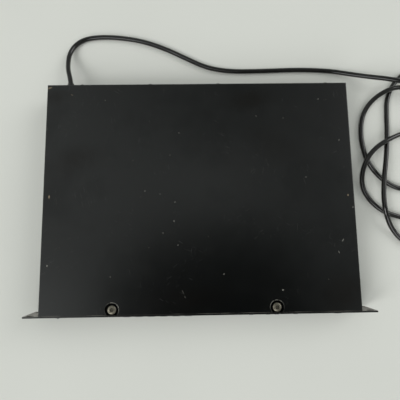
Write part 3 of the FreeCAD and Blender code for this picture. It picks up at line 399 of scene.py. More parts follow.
# Marks on the top of the cover: centre x and y, half length, half width, turn in degrees, and how strongly
# each shows. Chips bare the primer, rusty ones have gone brown, and smudges dull the shine and stain it a little.
CHIPS = (
    (0.1765, 0.1396, 0.0010, 0.0006, 20, 0.8), (0.0841, 0.1145, 0.0009, 0.0005, -30, 0.6),
    (0.1235, 0.1110, 0.0006, 0.0005, 0, 0.7), (0.2034, 0.0770, 0.0013, 0.0006, 70, 0.7),
    (0.1524, 0.0231, 0.0008, 0.0006, 0, 0.6), (0.2168, -0.0209, 0.0012, 0.0008, 80, 0.7),
    (0.1994, -0.0671, 0.0022, 0.0006, 60, 0.8), (0.1927, -0.0836, 0.0018, 0.0005, 110, 0.7),
    (0.1122, -0.1338, 0.0012, 0.0009, 10, 1.0), (-0.0309, -0.0705, 0.0010, 0.0005, 40, 0.6),
    (-0.0516, -0.0536, 0.0009, 0.0006, 0, 0.6), (-0.0362, -0.0371, 0.0011, 0.0006, 90, 0.8),
    (-0.0347, -0.0104, 0.0009, 0.0006, 30, 0.7), (-0.0769, 0.0059, 0.0012, 0.0005, 10, 0.5),
    (-0.0558, 0.0013, 0.0009, 0.0005, -20, 0.5), (-0.0283, 0.0901, 0.0008, 0.0005, 0, 0.6),
    (-0.2103, -0.0963, 0.0013, 0.0009, 90, 0.8), (-0.0246, -0.1342, 0.0028, 0.0003, -65, 0.45),
    (-0.0219, -0.1409, 0.0016, 0.0004, -60, 0.4), (0.0319, -0.1110, 0.0014, 0.0008, 35, 0.5),
)
RUSTY = (
    (0.2109, -0.0037, 0.0014, 0.0010, 80, 0.8), (-0.2113, -0.0009, 0.0022, 0.0010, 90, 0.9),
    (-0.2163, 0.1602, 0.0030, 0.0012, 20, 0.6), (-0.1839, 0.1492, 0.0016, 0.0006, 160, 0.4),
)
SMUDGES = (
    (-0.1750, 0.0520, 0.030, 0.016, 20, 0.7), (0.0760, 0.1390, 0.024, 0.012, 8, 0.9),
    (0.1960, -0.1380, 0.024, 0.018, 25, 0.9), (-0.2080, 0.1464, 0.016, 0.008, 10, 0.7),
    (-0.0150, -0.1440, 0.040, 0.012, 5, 0.4), (0.1100, 0.0700, 0.036, 0.018, -30, 0.4),
)
DISH_RIM, DISH_RIM_WIDTH = 0.0097, 0.0006                   # radius of the rim's middle, and how wide its band of wear and painted highlight runs
DISH_WORN_AND_LIT_SIDES = ((0.6, 0.8, 0), (-0.35, 0.94, 0))         # towards the side with the most wear and the painted highlight, left dish and right
DUST, DIRT, SCRATCHED = (0.02, 0.021, 0.019), (0.21, 0.20, 0.165), (0.075, 0.075, 0.07)
GREASE = (0.006, 0.0046, 0.0032)
BARE_METAL, STAINED_METAL = (0.33, 0.30, 0.275), (0.125, 0.10, 0.085)


def cover_screws():
    """Middles of the two large screws at the front of the cover."""
    return [(low + high) / 2 for low, high in solids("cover_front_screws")]


def marks(tree, position, spots, softness):
    """Masks of several marks, the strongest at each point."""
    found = []
    for x, y, half_length, half_width, turn, strength in spots:
        made = effect(tree, mark, {"Position": position, "Centre": (x, y, 0), "Softness": softness,
                                   "Half Size": (half_length, half_width, 1.0),
                                   "Turn": (0, 0, math.radians(turn))}).outputs["Mask"]
        found.append(times(tree, made, strength))
    return largest(tree, *found)


def enamel(paint, low, high, with_marks, rubbed=0.55, bare_back=False):
    """Satin enamel on sheet metal, finely scratched, with rubbed edges. A bare back is unpainted."""
    def build(tree, shader, position):
        colours = settings().finishes
        cloud = noise(tree, position, 30.0, 4.0, 0.6)
        wide = patchy(tree, position, 7.0, 3.0, 0.5, 0.3, 0.7)
        base = blended(tree, wide, shade(paint, 0.5), shade(paint, 1.2))
        base = blended(tree, ramp(tree, cloud, 0.5, 0.75, 0.0, 0.03), base, DUST)
        dirt = effect(tree, specks, {"Position": position, "Scale": 170.0, "Share": 0.09, "Size": 0.09})
        faint = scaled(tree, maths(tree, "POWER", dirt.outputs["Tint"], 3.0), 0.4, 0.03)
        base = blended(tree, times(tree, dirt.outputs["Mask"], faint), base, DIRT)
        lines = effect(tree, scratches, {"Position": position, "Amount": 1.0}).outputs["Mask"]
        base = blended(tree, times(tree, lines, 0.34), base, SCRATCHED)
        bare = effect(tree, edge_rub, {"Position": position, "Low": low, "High": high, "Width": 0.0007,
                                       "Amount": rubbed}).outputs["Mask"]
        handled = patchy(tree, position, 13.0, 4.0, 0.6, 0.46, 0.68, 1.0, 0.68)
        if with_marks:
            # Painted shade inside the cover screws' dishes gathers here.
            dish_shade = 0.0
            bare = largest(tree, bare, marks(tree, position, CHIPS, 0.15))
            for centre, worn_and_lit_side in zip(cover_screws(), DISH_WORN_AND_LIT_SIDES):
                dish = effect(tree, dish_wear, {"Position": position, "Centre": centre, "Radius": DISH_RIM,
                                                "Width": DISH_RIM_WIDTH, "Worn Side": worn_and_lit_side})
                # The rim is bared to the lighter primer: partly wear, partly a painted highlight on the side set
                # above.
                bare = largest(tree, bare, times(tree, dish.outputs["Rim"], 0.75))
                dish_shade = largest(tree, dish_shade, dish.outputs["Inside"])
            base = blended(tree, marks(tree, position, RUSTY, 0.4), base, tuple(colours.rust))
        base = blended(tree, bare, base, tuple(colours.primer))
        if with_marks:
            ragged = patchy(tree, position, 90.0, 3.0, 0.6, 0.3, 0.62, 0.65, 1.0)
            smudged = times(tree, marks(tree, position, SMUDGES, 1.0), ragged)
            base = blended(tree, times(tree, smudged, 0.5), base, GREASE)
            for dull in (smudged, dish_shade):
                handled = times(tree, handled, maths(tree, "SUBTRACT", 1.0, dull))
            # Painted shade in the dishes: metallic on the near-black enamel, with the coat taken away, darkens
            # their floors.
            feed(tree, shader, Metallic=times(tree, dish_shade, 0.75))
        rough = scaled(tree, cloud, 0.08, 0.17)
        rough = maths(tree, "MULTIPLY_ADD", lines, 0.15, rough, clamp=True)
        if bare_back:
            behind = maths(tree, "GREATER_THAN", facing(tree)["Y"], 0.7)
            out = maths(tree, "ABSOLUTE", axes(tree, position)["X"])
            stain = largest(tree, patchy(tree, position, 130.0, 4.0, 0.6, 0.35, 0.7),
                            ramp(tree, out, high.x - 0.016, high.x - 0.002))
            base = blended(tree, behind, base, blended(tree, stain, BARE_METAL, STAINED_METAL))
            rough = largest(tree, rough, times(tree, behind, 0.42))
            feed(tree, shader, Metallic=times(tree, behind, 0.9))
        feed(tree, shader, Specular_IOR_Level=0.30, Coat_Weight=times(tree, handled, 0.42), Coat_Roughness=0.24,
             Base_Color=base, Roughness=rough, Normal=skin(tree, position, 1100.0, 0.000012, 0.8))
    return build


def moulded(tint, roughness=0.42, depth=0.00002, scale=2600.0):
    """Plastic with a fine spark-eroded skin and slight handling shine."""
    def build(tree, shader, position):
        worn = noise(tree, position, 90.0, 3.0)
        base = blended(tree, ramp(tree, worn, 0.35, 0.7), shade(tint, 0.88), shade(tint, 1.14))
        dirt = effect(tree, specks, {"Position": position, "Scale": 420.0, "Share": 0.03, "Size": 0.12})
        base = blended(tree, times(tree, dirt.outputs["Mask"], 0.3), base, (0.2, 0.19, 0.17))
        feed(tree, shader, Base_Color=base, Roughness=scaled(tree, worn, 0.2, roughness - 0.1),
             Normal=skin(tree, position, scale, depth, 0.3))
    return build


def plated(tint, roughness=0.3, tarnish=(0.10, 0.09, 0.07), amount=0.5, lay=(1.0, 1.0, 1.0), painted_recess_shade=()):
    """Plated or turned metal with tarnish in patches and painted shade in given round spots. Lay stretches its
    fine lines along an axis."""
    def build(tree, shader, position):
        lines = noise(tree, node(tree, "ShaderNodeMapping", {"Vector": position, "Scale": lay}), 900.0, 3.0)
        patch = patchy(tree, position, 480.0, 4.0, 0.65, 0.42, 0.68, 0.0, amount)
        base = blended(tree, ramp(tree, lines, 0.3, 0.7), shade(tint, 0.9), shade(tint, 1.06))
        base = blended(tree, patch, base, tarnish)
        if painted_recess_shade:
            # Painted shade: the spots darken the plating as a recess's shade would.
            base = blended(tree, marks(tree, position, painted_recess_shade, 0.35), base, shade(tint, 0.42))
        feed(tree, shader, Base_Color=base, Metallic=1.0, Normal=relief(tree, lines, 0.000006),
             Roughness=scaled(tree, patch, 0.35, scaled(tree, lines, 0.14, roughness - 0.07)))
    return build


def black_oxide(tree, shader, position):
    """Blackened steel, brown where the oil has gone."""
    patch = patchy(tree, position, 520.0, 4.0, 0.65, 0.5, 0.75)
    base = blended(tree, patch, (0.028, 0.028, 0.029), (0.075, 0.058, 0.042))
    feed(tree, shader, Base_Color=base, Roughness=scaled(tree, patch, 0.2, 0.34), Metallic=0.55,
         Normal=skin(tree, position, 3000.0, 0.000012, 0.5))


def rubber(tree, shader, position):
    """Matt rubber with a dusty bloom."""
    bloom = patchy(tree, position, 160.0, 4.0, 0.6, 0.4, 0.75, 0.0, 0.5)
    feed(tree, shader, Base_Color=blended(tree, bloom, (0.013, 0.013, 0.013), (0.06, 0.058, 0.053)),
         Roughness=scaled(tree, bloom, 0.2, 0.72), Normal=skin(tree, position, 1800.0, 0.00005, 0.5))


def sheath(tree, shader, position):
    """Flexible black sheath: soft shine, scuffs and lint."""
    scuff = patchy(tree, position, 120.0, 4.0, 0.65, 0.5, 0.78, 0.0, 0.4)
    base = blended(tree, scuff, tuple(settings().finishes.lead_plastic), (0.011, 0.0105, 0.0095))
    lint = effect(tree, specks, {"Position": position, "Scale": 380.0, "Share": 0.04, "Size": 0.10})
    base = blended(tree, times(tree, lint.outputs["Mask"], 0.4), base, (0.3, 0.29, 0.27))
    feed(tree, shader, Specular_IOR_Level=0.2, Coat_Weight=0.6, Coat_Roughness=0.12, Base_Color=base,
         Roughness=scaled(tree, scuff, 0.4, 0.17), Normal=skin(tree, position, 900.0, 0.00003, 1.2))


def lamp_lens(tree, shader, position):
    """Clear dyed plastic, clouded a little."""
    tint = tuple(settings().finishes.lamp_plastic)
    cloud = patchy(tree, position, 700.0, 2.0, 0.5, 0.3, 0.7)
    feed(tree, shader, Base_Color=blended(tree, cloud, tint, shade(tint, 1.2)),
         Roughness=scaled(tree, cloud, 0.08, 0.08), Transmission_Weight=0.5, IOR=1.49)


def display_tint(tree, shader, position):
    """Dark tinted window with faint wiping marks."""
    lines = effect(tree, scratches, {"Position": position, "Scale": 2.0, "Amount": 0.5}).outputs["Mask"]
    base = blended(tree, times(tree, lines, 0.3), tuple(settings().finishes.window_plastic), (0.12, 0.10, 0.10))
    feed(tree, shader, Base_Color=base, Roughness=scaled(tree, noise(tree, position, 150.0, 3.0), 0.14, 0.03),
         IOR=1.49)


def board_coating(tree, shader, position):
    """Green solder mask over copper tracks that run straight and turn square, with tinned pads."""
    tint = tuple(settings().finishes.solder_mask)
    blocks = node(tree, "ShaderNodeTexVoronoi", {"Vector": position, "Scale": 60.0, "Randomness": 0.9},
                  distance="MANHATTAN", voronoi_dimensions="3D")
    track = ramp(tree, maths(tree, "FRACT", times(tree, blocks.outputs["Distance"], 14.0)), 0.42, 0.5)
    grid = node(tree, "ShaderNodeTexVoronoi", {"Vector": position, "Scale": 394.0, "Randomness": 0.0})
    tone = node(tree, "ShaderNodeSeparateColor", {"Color": grid.outputs["Color"]})
    used = maths(tree, "LESS_THAN", tone.outputs[0], 0.16)
    pad = times(tree, maths(tree, "LESS_THAN", grid.outputs["Distance"], 0.3), used)
    base = blended(tree, pad, blended(tree, track, tint, shade(tint, 1.55)), (0.60, 0.59, 0.55))
    feed(tree, shader, Base_Color=base, Metallic=pad, Roughness=scaled(tree, track, -0.06, 0.32),
         Normal=relief(tree, maths(tree, "ADD", track, pad), 0.00006, 0.6))


def laminations(tree, shader, position):
    """Edges of a stack of varnished steel sheets."""
    gap = ramp(tree, maths(tree, "PINGPONG", axes(tree, position)["Z"], 0.00025), 0.00002, 0.00008)
    stain = patchy(tree, position, 90.0, 4.0, 0.6, 0.4, 0.7)
    base = blended(tree, stain, (0.075, 0.070, 0.066), (0.13, 0.095, 0.07))
    feed(tree, shader, Base_Color=blended(tree, gap, (0.03, 0.027, 0.025), base), Metallic=0.35,
         Roughness=scaled(tree, stain, 0.2, 0.38), Normal=relief(tree, gap, 0.00008, 0.7))


def winding_tape(tree, shader, position):
    """Yellow tape laid around the coil in overlapping turns."""
    lap = maths(tree, "FRACT", times(tree, axes(tree, position)["Y"], 210.0))
    wrinkle = noise(tree, position, 300.0, 3.0)
    base = blended(tree, ramp(tree, lap, 0.0, 0.12, 1.0, 0.0), (0.50, 0.39, 0.10), (0.34, 0.25, 0.06))
    base = blended(tree, ramp(tree, wrinkle, 0.45, 0.7, 0.0, 0.4), base, (0.40, 0.30, 0.10))
    feed(tree, shader, Base_Color=base, Roughness=scaled(tree, wrinkle, 0.15, 0.30),
         Normal=relief(tree, scaled(tree, wrinkle, 0.5, lap), 0.00012, 0.6))


def capacitor_sleeve(tree, shader, position):
    """Shrunk sleeve, dark blue, with a bare aluminium top."""
    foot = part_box("capacitors")[0].z
    top = maths(tree, "GREATER_THAN", facing(tree)["Z"], 0.9)
    wrinkle = noise(tree, position, 420.0, 2.0)
    base = blended(tree, ramp(tree, wrinkle, 0.4, 0.65), (0.016, 0.022, 0.055), (0.024, 0.032, 0.075))
    dusty = ramp(tree, axes(tree, position)["Z"], foot, foot + 0.003, 0.4, 0.0)
    base = blended(tree, dusty, base, (0.05, 0.05, 0.05))
    feed(tree, shader, Base_Color=blended(tree, top, base, (0.55, 0.55, 0.54)), Metallic=top,
         Roughness=scaled(tree, wrinkle, 0.15, 0.2))


def fuse_parts(tree, shader, position):
    """Glass tube with plated ends, told apart by where they lie along the fuse."""
    low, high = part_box("fuse")
    cap = 0.0052
    along = axes(tree, position)["Y"]
    ends = largest(tree, maths(tree, "LESS_THAN", along, low.y + cap),
                   maths(tree, "GREATER_THAN", along, high.y - cap))
    feed(tree, shader, Base_Color=blended(tree, ends, (0.55, 0.58, 0.57), (0.60, 0.59, 0.56)), Metallic=ends,
         Roughness=scaled(tree, noise(tree, position, 600.0, 3.0), 0.15, 0.12))


def insulation(tree, shader, position):
    """Wire insulation: brown on the mains wires, and grey on the flat cable with one fine line per core."""
    across = axes(tree, position)["X"]
    cores = ramp(tree, maths(tree, "PINGPONG", across, 0.000635), 0.00005, 0.0002)
    flat = maths(tree, "GREATER_THAN", across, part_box("ribbon_cable")[0].x - 0.001)
    grey = blended(tree, cores, (0.10, 0.10, 0.10), (0.30, 0.30, 0.31))
    brown = blended(tree, patchy(tree, position, 260.0, 3.0, 0.5, 0.4, 0.7), (0.075, 0.032, 0.016),
                    (0.10, 0.045, 0.022))
    feed(tree, shader, Base_Color=blended(tree, flat, brown, grey), Normal=relief(tree, cores, 0.0001, 0.5),
         Roughness=patchy(tree, position, 300.0, 2.0, 0.5, 0.3, 0.7, 0.35, 0.5))


def printed(tint):
    """Printed ink, a little thin in places."""
    def build(tree, shader, position):
        thin = patchy(tree, position, 1500.0, 3.0, 0.5, 0.55, 0.75, 0.0, 0.5)
        feed(tree, shader, Base_Color=blended(tree, thin, tint, shade(tint, 0.5)),
             Roughness=scaled(tree, thin, 0.2, 0.5))
    return build


def finishes():
    """Every finish by its plain name."""
    tints = settings().finishes
    case, panel = tuple(tints.case_enamel), tuple(tints.panel_paint)
    # Painted shade over the middle of each large cover screw's head, where its cross recess lies.
    recess_shade_spots = [(centre.x, centre.y, 0.0029, 0.0027, 30, 1.0) for centre in cover_screws()]
    return {
        "worn_case_enamel": enamel(case, CASE_LOW, CASE_HIGH, True),
        "case_enamel": enamel(case, *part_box("chassis_tray"), False),
        "panel_paint": enamel(panel, PANEL_LOW, PANEL_HIGH, False, 0.06, True),
        "yellow_zinc": plated(tuple(tints.zinc), 0.42, (0.075, 0.068, 0.052), 0.8, painted_recess_shade=recess_shade_spots),
        "bright_zinc": plated((0.55, 0.55, 0.53), 0.32, (0.2, 0.19, 0.17), 0.4),
        "nickel": plated((0.62, 0.60, 0.56), 0.2, (0.2, 0.18, 0.15), 0.35),
        "turned_aluminium": plated((0.70, 0.70, 0.70), 0.3, (0.4, 0.4, 0.4), 0.2, (1.0, 0.05, 1.0)),
        "black_anodised": plated((0.035, 0.035, 0.037), 0.4, (0.06, 0.06, 0.06), 0.3, (1.0, 1.0, 0.05)),
        "bracket_steel": plated((0.52, 0.52, 0.50), 0.35, (0.25, 0.24, 0.21), 0.5, (0.05, 1.0, 1.0)),
        "blade_brass": plated((0.72, 0.58, 0.30), 0.25, (0.30, 0.20, 0.09), 0.45, (0.05, 1.0, 1.0)),
        "black_oxide": black_oxide,
        "foot_rubber": rubber,
        "switch_plastic": moulded(tuple(tints.switch_plastic), 0.36),
        "button_plastic": moulded(tuple(tints.button_plastic), 0.45),
        "knob_plastic": moulded(tuple(tints.knob_plastic), 0.4),
        "display_plastic": moulded((0.13, 0.13, 0.13), 0.5),
        "chip_epoxy": moulded((0.016, 0.016, 0.017), 0.55, 0.00003, 1800.0),
        "lamp_lens": lamp_lens,
        "display_tint": display_tint,
        "solder_mask": board_coating,
        "laminations": laminations,
        "winding_tape": winding_tape,
        "capacitor_sleeve": capacitor_sleeve,
        "fuse_parts": fuse_parts,
        "wire_insulation": insulation,
        "lead_sheath": sheath,
        "printed_marks": printed(tuple(tints.print_ink)),
    }


def material(name):
    """Finish of that plain name."""
    return finish(name, finishes()[name])


def coat(name, *nodes):
    """Gives fitted parts a finish in place of their plain one."""
    made = material(name)
    for part in nodes:
        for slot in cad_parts[part].material_slots:
            slot.material = made


# ---- mesh helpers ----
def solids(part):
    """Lowest and highest corner of each separate solid of a fitted part, from left to right."""
    mesh = bmesh.new()
    mesh.from_mesh(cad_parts[part].data)
    bmesh.ops.remove_doubles(mesh, verts=mesh.verts, dist=1e-6)
    left, found = set(mesh.verts), []
    while left:
        reached = [left.pop()]
        for vert in reached:
            for edge in vert.link_edges:
                other = edge.other_vert(vert)
                if other in left:
                    left.remove(other)
                    reached.append(other)
        low = Vector(min(v.co[i] for v in reached) for i in range(3))
        high = Vector(max(v.co[i] for v in reached) for i in range(3))
        found.append((low, high))
    mesh.free()
    return sorted(found, key=lambda corners: tuple(round(value, 5) for value in corners[0]))


def lathe(profile, centre, axis, steps=64):
    """Closed skin of (radius, distance along the axis) points turned about an axis. A radius of 0 is a pole."""
    mesh = bmesh.new()
    turn = axis.to_track_quat("Z", "Y").to_matrix().to_4x4()
    rings = []
    for radius, along in profile:
        angles = [math.tau * i / steps for i in range(steps if radius > 0 else 1)]
        rings.append([mesh.verts.new((radius * math.cos(angle), radius * math.sin(angle), along))
                      for angle in angles])
    for first, second in zip(rings, rings[1:]):
        for i in range(steps):
            corners = {first[i % len(first)]: 0, first[(i + 1) % len(first)]: 0,
                       second[(i + 1) % len(second)]: 0, second[i % len(second)]: 0}
            mesh.faces.new(list(corners))
    mesh.transform(Matrix.Translation(centre) @ turn)
    bmesh.ops.recalc_face_normals(mesh, faces=mesh.faces)
    return mesh


def rounded(corners, radius, steps=4):
    """A (radius, along) profile with its inner corners rounded by up to that radius."""
    points = [Vector(c) for c in corners]
    out = [points[0]]
    for a, b, c in zip(points, points[1:], points[2:]):
        reach = min(radius, (a - b).length * 0.45, (c - b).length * 0.45)
        start, end = b + (a - b).normalized() * reach, b + (c - b).normalized() * reach
        out += [start.lerp(b, t).lerp(b.lerp(end, t), t) for t in (i / steps for i in range(steps + 1))]
    return [tuple(p) for p in out + [points[-1]]]


def new_piece(name, mesh, body, finish_name, replaced=(), sharp=35):
    """Shows a mesh as a piece that rides on a body, with smooth faces between its sharp edges."""
    if isinstance(mesh, bmesh.types.BMesh):
        data = bpy.data.meshes.new(name)
        mesh.to_mesh(data)
        mesh.free()
        mesh = data
    mesh.shade_smooth()
    mesh.set_sharp_from_angle(angle=math.radians(sharp))
    mesh.materials.clear()
    mesh.materials.append(material(finish_name))
    piece = bpy.data.objects.new(name, mesh)
    bpy.context.scene.collection.objects.link(piece)
    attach(piece, body)
    if replaced:
        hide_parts(*replaced)
    return piece


def joined(*meshes):
    """One mesh of several."""
    whole = meshes[0]
    for other in meshes[1:]:
        data = bpy.data.meshes.new("joining")
        other.to_mesh(data)
        other.free()
        add_mesh(whole, data)
    return whole


def add_mesh(whole, data):
    """Adds a plain mesh to a mesh that is being made, and removes the plain one."""
    whole.from_mesh(data)
    bpy.data.meshes.remove(data)


def bar(low, high, bevel=0.0, steps=2):
    """Block between two corners, with its edges rounded."""
    mesh = bmesh.new()
    bmesh.ops.create_cube(mesh, size=1.0)
    size, middle = high - low, (low + high) / 2
    mesh.transform(Matrix.Translation(middle) @ Matrix.Diagonal((*size, 1.0)))
    if bevel:
        bmesh.ops.bevel(mesh, geom=mesh.edges, offset=bevel, segments=steps, affect="EDGES", profile=0.5)
    return mesh


# ---- trees that make what repeats ----
def points_tree(name, made, **sizes):
    """Empty tree that sets things on points. Sizes are given by name, and counts are whole numbers."""
    kinds = [(label.replace("_", " "), "Int" if isinstance(value, int) else "Float", value)
             for label, value in sizes.items()]
    inputs = [("Points", "Geometry", None)] + kinds + [("Finish", "Material", None)]
    return new_group("GeometryNodeTree", name, inputs, [(made, "Geometry")])


def moved(tree, shape, **where):
    """Shape with its points set to a Position, or moved by an Offset."""
    return node(tree, "GeometryNodeSetPosition", {"Geometry": shape, **where})


def on_points(tree, points, instance, **turn_or_scale):
    """Instances of a shape on points."""
    return node(tree, "GeometryNodeInstanceOnPoints", {"Points": points, "Instance": instance, **turn_or_scale})


def end_tree(tree, given, made, geometry):
    """Realizes the instances and sets their material."""
    real = node(tree, "GeometryNodeRealizeInstances", {0: geometry})
    coated = node(tree, "GeometryNodeSetMaterial", {"Geometry": real, "Material": given["Finish"]})
    tree.links.new(coated.outputs[0], made.inputs[0])
    return tree


def outward_turn(tree, spin=None):
    """Rotation that takes +Z to each point's outward direction, after a spin about +Z."""
    outward = node(tree, "GeometryNodeInputNamedAttribute", {"Name": "outward"}, data_type="FLOAT_VECTOR")
    turned = node(tree, "FunctionNodeAlignRotationToVector", {"Vector": outward}, axis="Z")
    if spin is None:
        return turned.outputs[0]
    local = node(tree, "FunctionNodeEulerToRotation", {0: vector(tree, Z=spin)})
    return node(tree, "FunctionNodeRotateRotation", {"Rotation": turned, "Rotate By": local},
                rotation_space="LOCAL").outputs[0]


def screws_on_points(name):
    """Cross-recess screws. Each point is a seat, and its outward attribute is the way the head faces."""
    tree, given, made = points_tree(
        name, "Screws", Head_Radius=0.003, Head_Height=0.002, Sink=0.0, Shank_Radius=0.0015, Shank_Length=0.006,
        Recess_Width=0.003, Recess_Slot=0.001, Recess_Depth=0.001, Seed=0)
    ball = node(tree, "GeometryNodeMeshUVSphere", {"Segments": 48, "Rings": 32, "Radius": 1.0})
    x, y, z = axes(tree, node(tree, "GeometryNodeInputPosition"))
    spread = maths(tree, "SQRT", maths(tree, "ADD", times(tree, x, x), times(tree, y, y)))
    rise = maths(tree, "POWER", largest(tree, z, 0.0), 0.5)
    crown = times(tree, rise, given["Head Height"])
    neck = maths(tree, "DIVIDE", given["Shank Radius"], given["Head Radius"])
    taper = maths(tree, "SUBTRACT", 1.0, neck)
    under = maths(tree, "MINIMUM", maths(tree, "DIVIDE", maths(tree, "SUBTRACT", 1.0, spread), taper), 1.0)
    under = times(tree, times(tree, under, given["Sink"]), maths(tree, "LESS_THAN", z, 0.0))
    shaped = vector(tree, X=times(tree, x, given["Head Radius"]), Y=times(tree, y, given["Head Radius"]),
                    Z=maths(tree, "SUBTRACT", crown, under))
    head = moved(tree, ball, Position=shaped)
    cutters = []
    for width, slot in (("Recess Width", "Recess Slot"), ("Recess Slot", "Recess Width")):
        size = vector(tree, X=given[width], Y=given[slot], Z=times(tree, given["Recess Depth"], 2.0))
        arm = node(tree, "GeometryNodeMeshCube", {"Size": size})
        corner = node(tree, "GeometryNodeInputPosition")
        low = maths(tree, "LESS_THAN", axes(tree, corner)["Z"], 0.0)
        narrow = maths(tree, "SUBTRACT", 1.0, times(tree, low, 0.42))
        place = vector_maths(tree, "MULTIPLY", corner, vector(tree, X=narrow, Y=narrow, Z=1.0))
        cutters.append(moved(tree, arm, Position=place, Offset=vector(tree, Z=given["Head Height"])))
    pit_top = times(tree, given["Recess Width"], 0.36)
    pit = node(tree, "GeometryNodeMeshCone", {
        "Vertices": 16, "Radius Top": pit_top, "Radius Bottom": times(tree, pit_top, 0.45),
        "Depth": times(tree, given["Recess Depth"], 1.9)})
    lift = vector(tree, Z=scaled(tree, given["Recess Depth"], -0.95, given["Head Height"]))
    cutters.append(node(tree, "GeometryNodeTransform", {"Geometry": pit, "Translation": lift}))
    cut = head
    for cutter in cutters:
        cut = node(tree, "GeometryNodeMeshBoolean", {0: cut, 1: cutter}, operation="DIFFERENCE", solver="EXACT")
    shank = node(tree, "GeometryNodeMeshCylinder", {"Vertices": 24, "Radius": given["Shank Radius"],
                                                    "Depth": given["Shank Length"]})
    down = vector(tree, Z=times(tree, given["Shank Length"], -0.5))
    shank = node(tree, "GeometryNodeTransform", {"Geometry": shank, "Translation": down})
    screw = node(tree, "GeometryNodeJoinGeometry", {0: cut})
    tree.links.new(shank.outputs[0], screw.inputs[0])
    spin = node(tree, "FunctionNodeRandomValue", {2: 0.0, 3: math.tau, 8: given["Seed"]}, data_type="FLOAT")
    turn = outward_turn(tree, spin.outputs[1])
    return end_tree(tree, given, made, on_points(tree, given["Points"], screw, Rotation=turn))


def line_of_points(tree, count):
    """Points all at one place, the number of each, and its share of the way from the first to the last."""
    gaps = largest(tree, maths(tree, "SUBTRACT", count, 1.0), 1.0)
    line = node(tree, "GeometryNodeMeshLine", {"Count": count, "Offset": (0, 0, 0)})
    index = node(tree, "GeometryNodeInputIndex")
    return line, index, maths(tree, "DIVIDE", index, gaps)


def bars_round_points(name):
    """Bars set evenly around each point's outward axis: ribs around a knob or marks around a dial."""
    tree, given, made = points_tree(name, "Bars", Count=11, Radius=0.008, Start=0.0, Sweep=5.2,
                                    Bar_Length=0.002, Bar_Width=0.0004, Bar_Depth=0.0001)
    line, _, share = line_of_points(tree, given["Count"])
    angle = scaled(tree, share, given["Sweep"], given["Start"])
    around = vector(tree, X=times(tree, maths(tree, "COSINE", angle), given["Radius"]),
                    Y=times(tree, maths(tree, "SINE", angle), given["Radius"]))
    ring = moved(tree, line, Position=around)
    size = vector(tree, X=given["Bar Length"], Y=given["Bar Width"], Z=given["Bar Depth"])
    shape = node(tree, "GeometryNodeMeshCube", {"Size": size})
    turn = node(tree, "FunctionNodeEulerToRotation", {0: vector(tree, Z=angle)})
    bars = on_points(tree, ring, shape, Rotation=turn)
    return end_tree(tree, given, made, on_points(tree, given["Points"], bars, Rotation=outward_turn(tree)))


def rings_on_points(name):
    """Round rings a fixed pitch apart along each point's outward axis: screw threads or moulded ribs."""
    tree, given, made = points_tree(name, "Rings", Count=6, Pitch=0.001, First_Radius=0.004, Last_Radius=0.004,
                                    Thickness=0.0003)
    line, index, share = line_of_points(tree, given["Count"])
    stack = moved(tree, line, Position=vector(tree, Z=times(tree, index, given["Pitch"])))
    path, section = (node(tree, "GeometryNodeCurvePrimitiveCircle",
                          {"Resolution": steps, "Radius": given[radius]}, mode="RADIUS")
                     for steps, radius in ((48, "First Radius"), (10, "Thickness")))
    ring = node(tree, "GeometryNodeCurveToMesh", {"Curve": path, "Profile Curve": section})
    ratio = maths(tree, "DIVIDE", given["Last Radius"], given["First Radius"])
    grown = scaled(tree, share, maths(tree, "SUBTRACT", ratio, 1.0), 1.0)
    rings = on_points(tree, stack, ring, Scale=vector(tree, X=grown, Y=grown, Z=1.0))
    return end_tree(tree, given, made, on_points(tree, given["Points"], rings, Rotation=outward_turn(tree)))


def from_tree(build, places, values, finish_name):
    """Plain mesh that a tree makes on bare points, each given as its place and outward direction."""
    tree = bpy.data.node_groups.get(build.__name__) or build(build.__name__)
    points = bpy.data.meshes.new("points")
    points.from_pydata([place for place, _ in places], [], [])
    outward = points.attributes.new("outward", "FLOAT_VECTOR", "POINT")
    outward.data.foreach_set("vector", [value for _, direction in places for value in direction])
    maker = bpy.data.objects.new("maker", points)
    bpy.context.scene.collection.objects.link(maker)
    modifier = maker.modifiers.new("maker", "NODES")
    modifier.node_group = tree
    values = dict(values, Finish=material(finish_name))
    for item in tree.interface.items_tree:
        if item.item_type == "SOCKET" and item.in_out == "INPUT" and item.name in values:
            modifier[item.identifier] = values[item.name]
    made = bpy.data.meshes.new_from_object(maker.evaluated_get(bpy.context.evaluated_depsgraph_get()))
    bpy.data.objects.remove(maker)
    bpy.data.meshes.remove(points)
    if not made.polygons:
        raise RuntimeError("%s made nothing" % build.__name__)
    return made


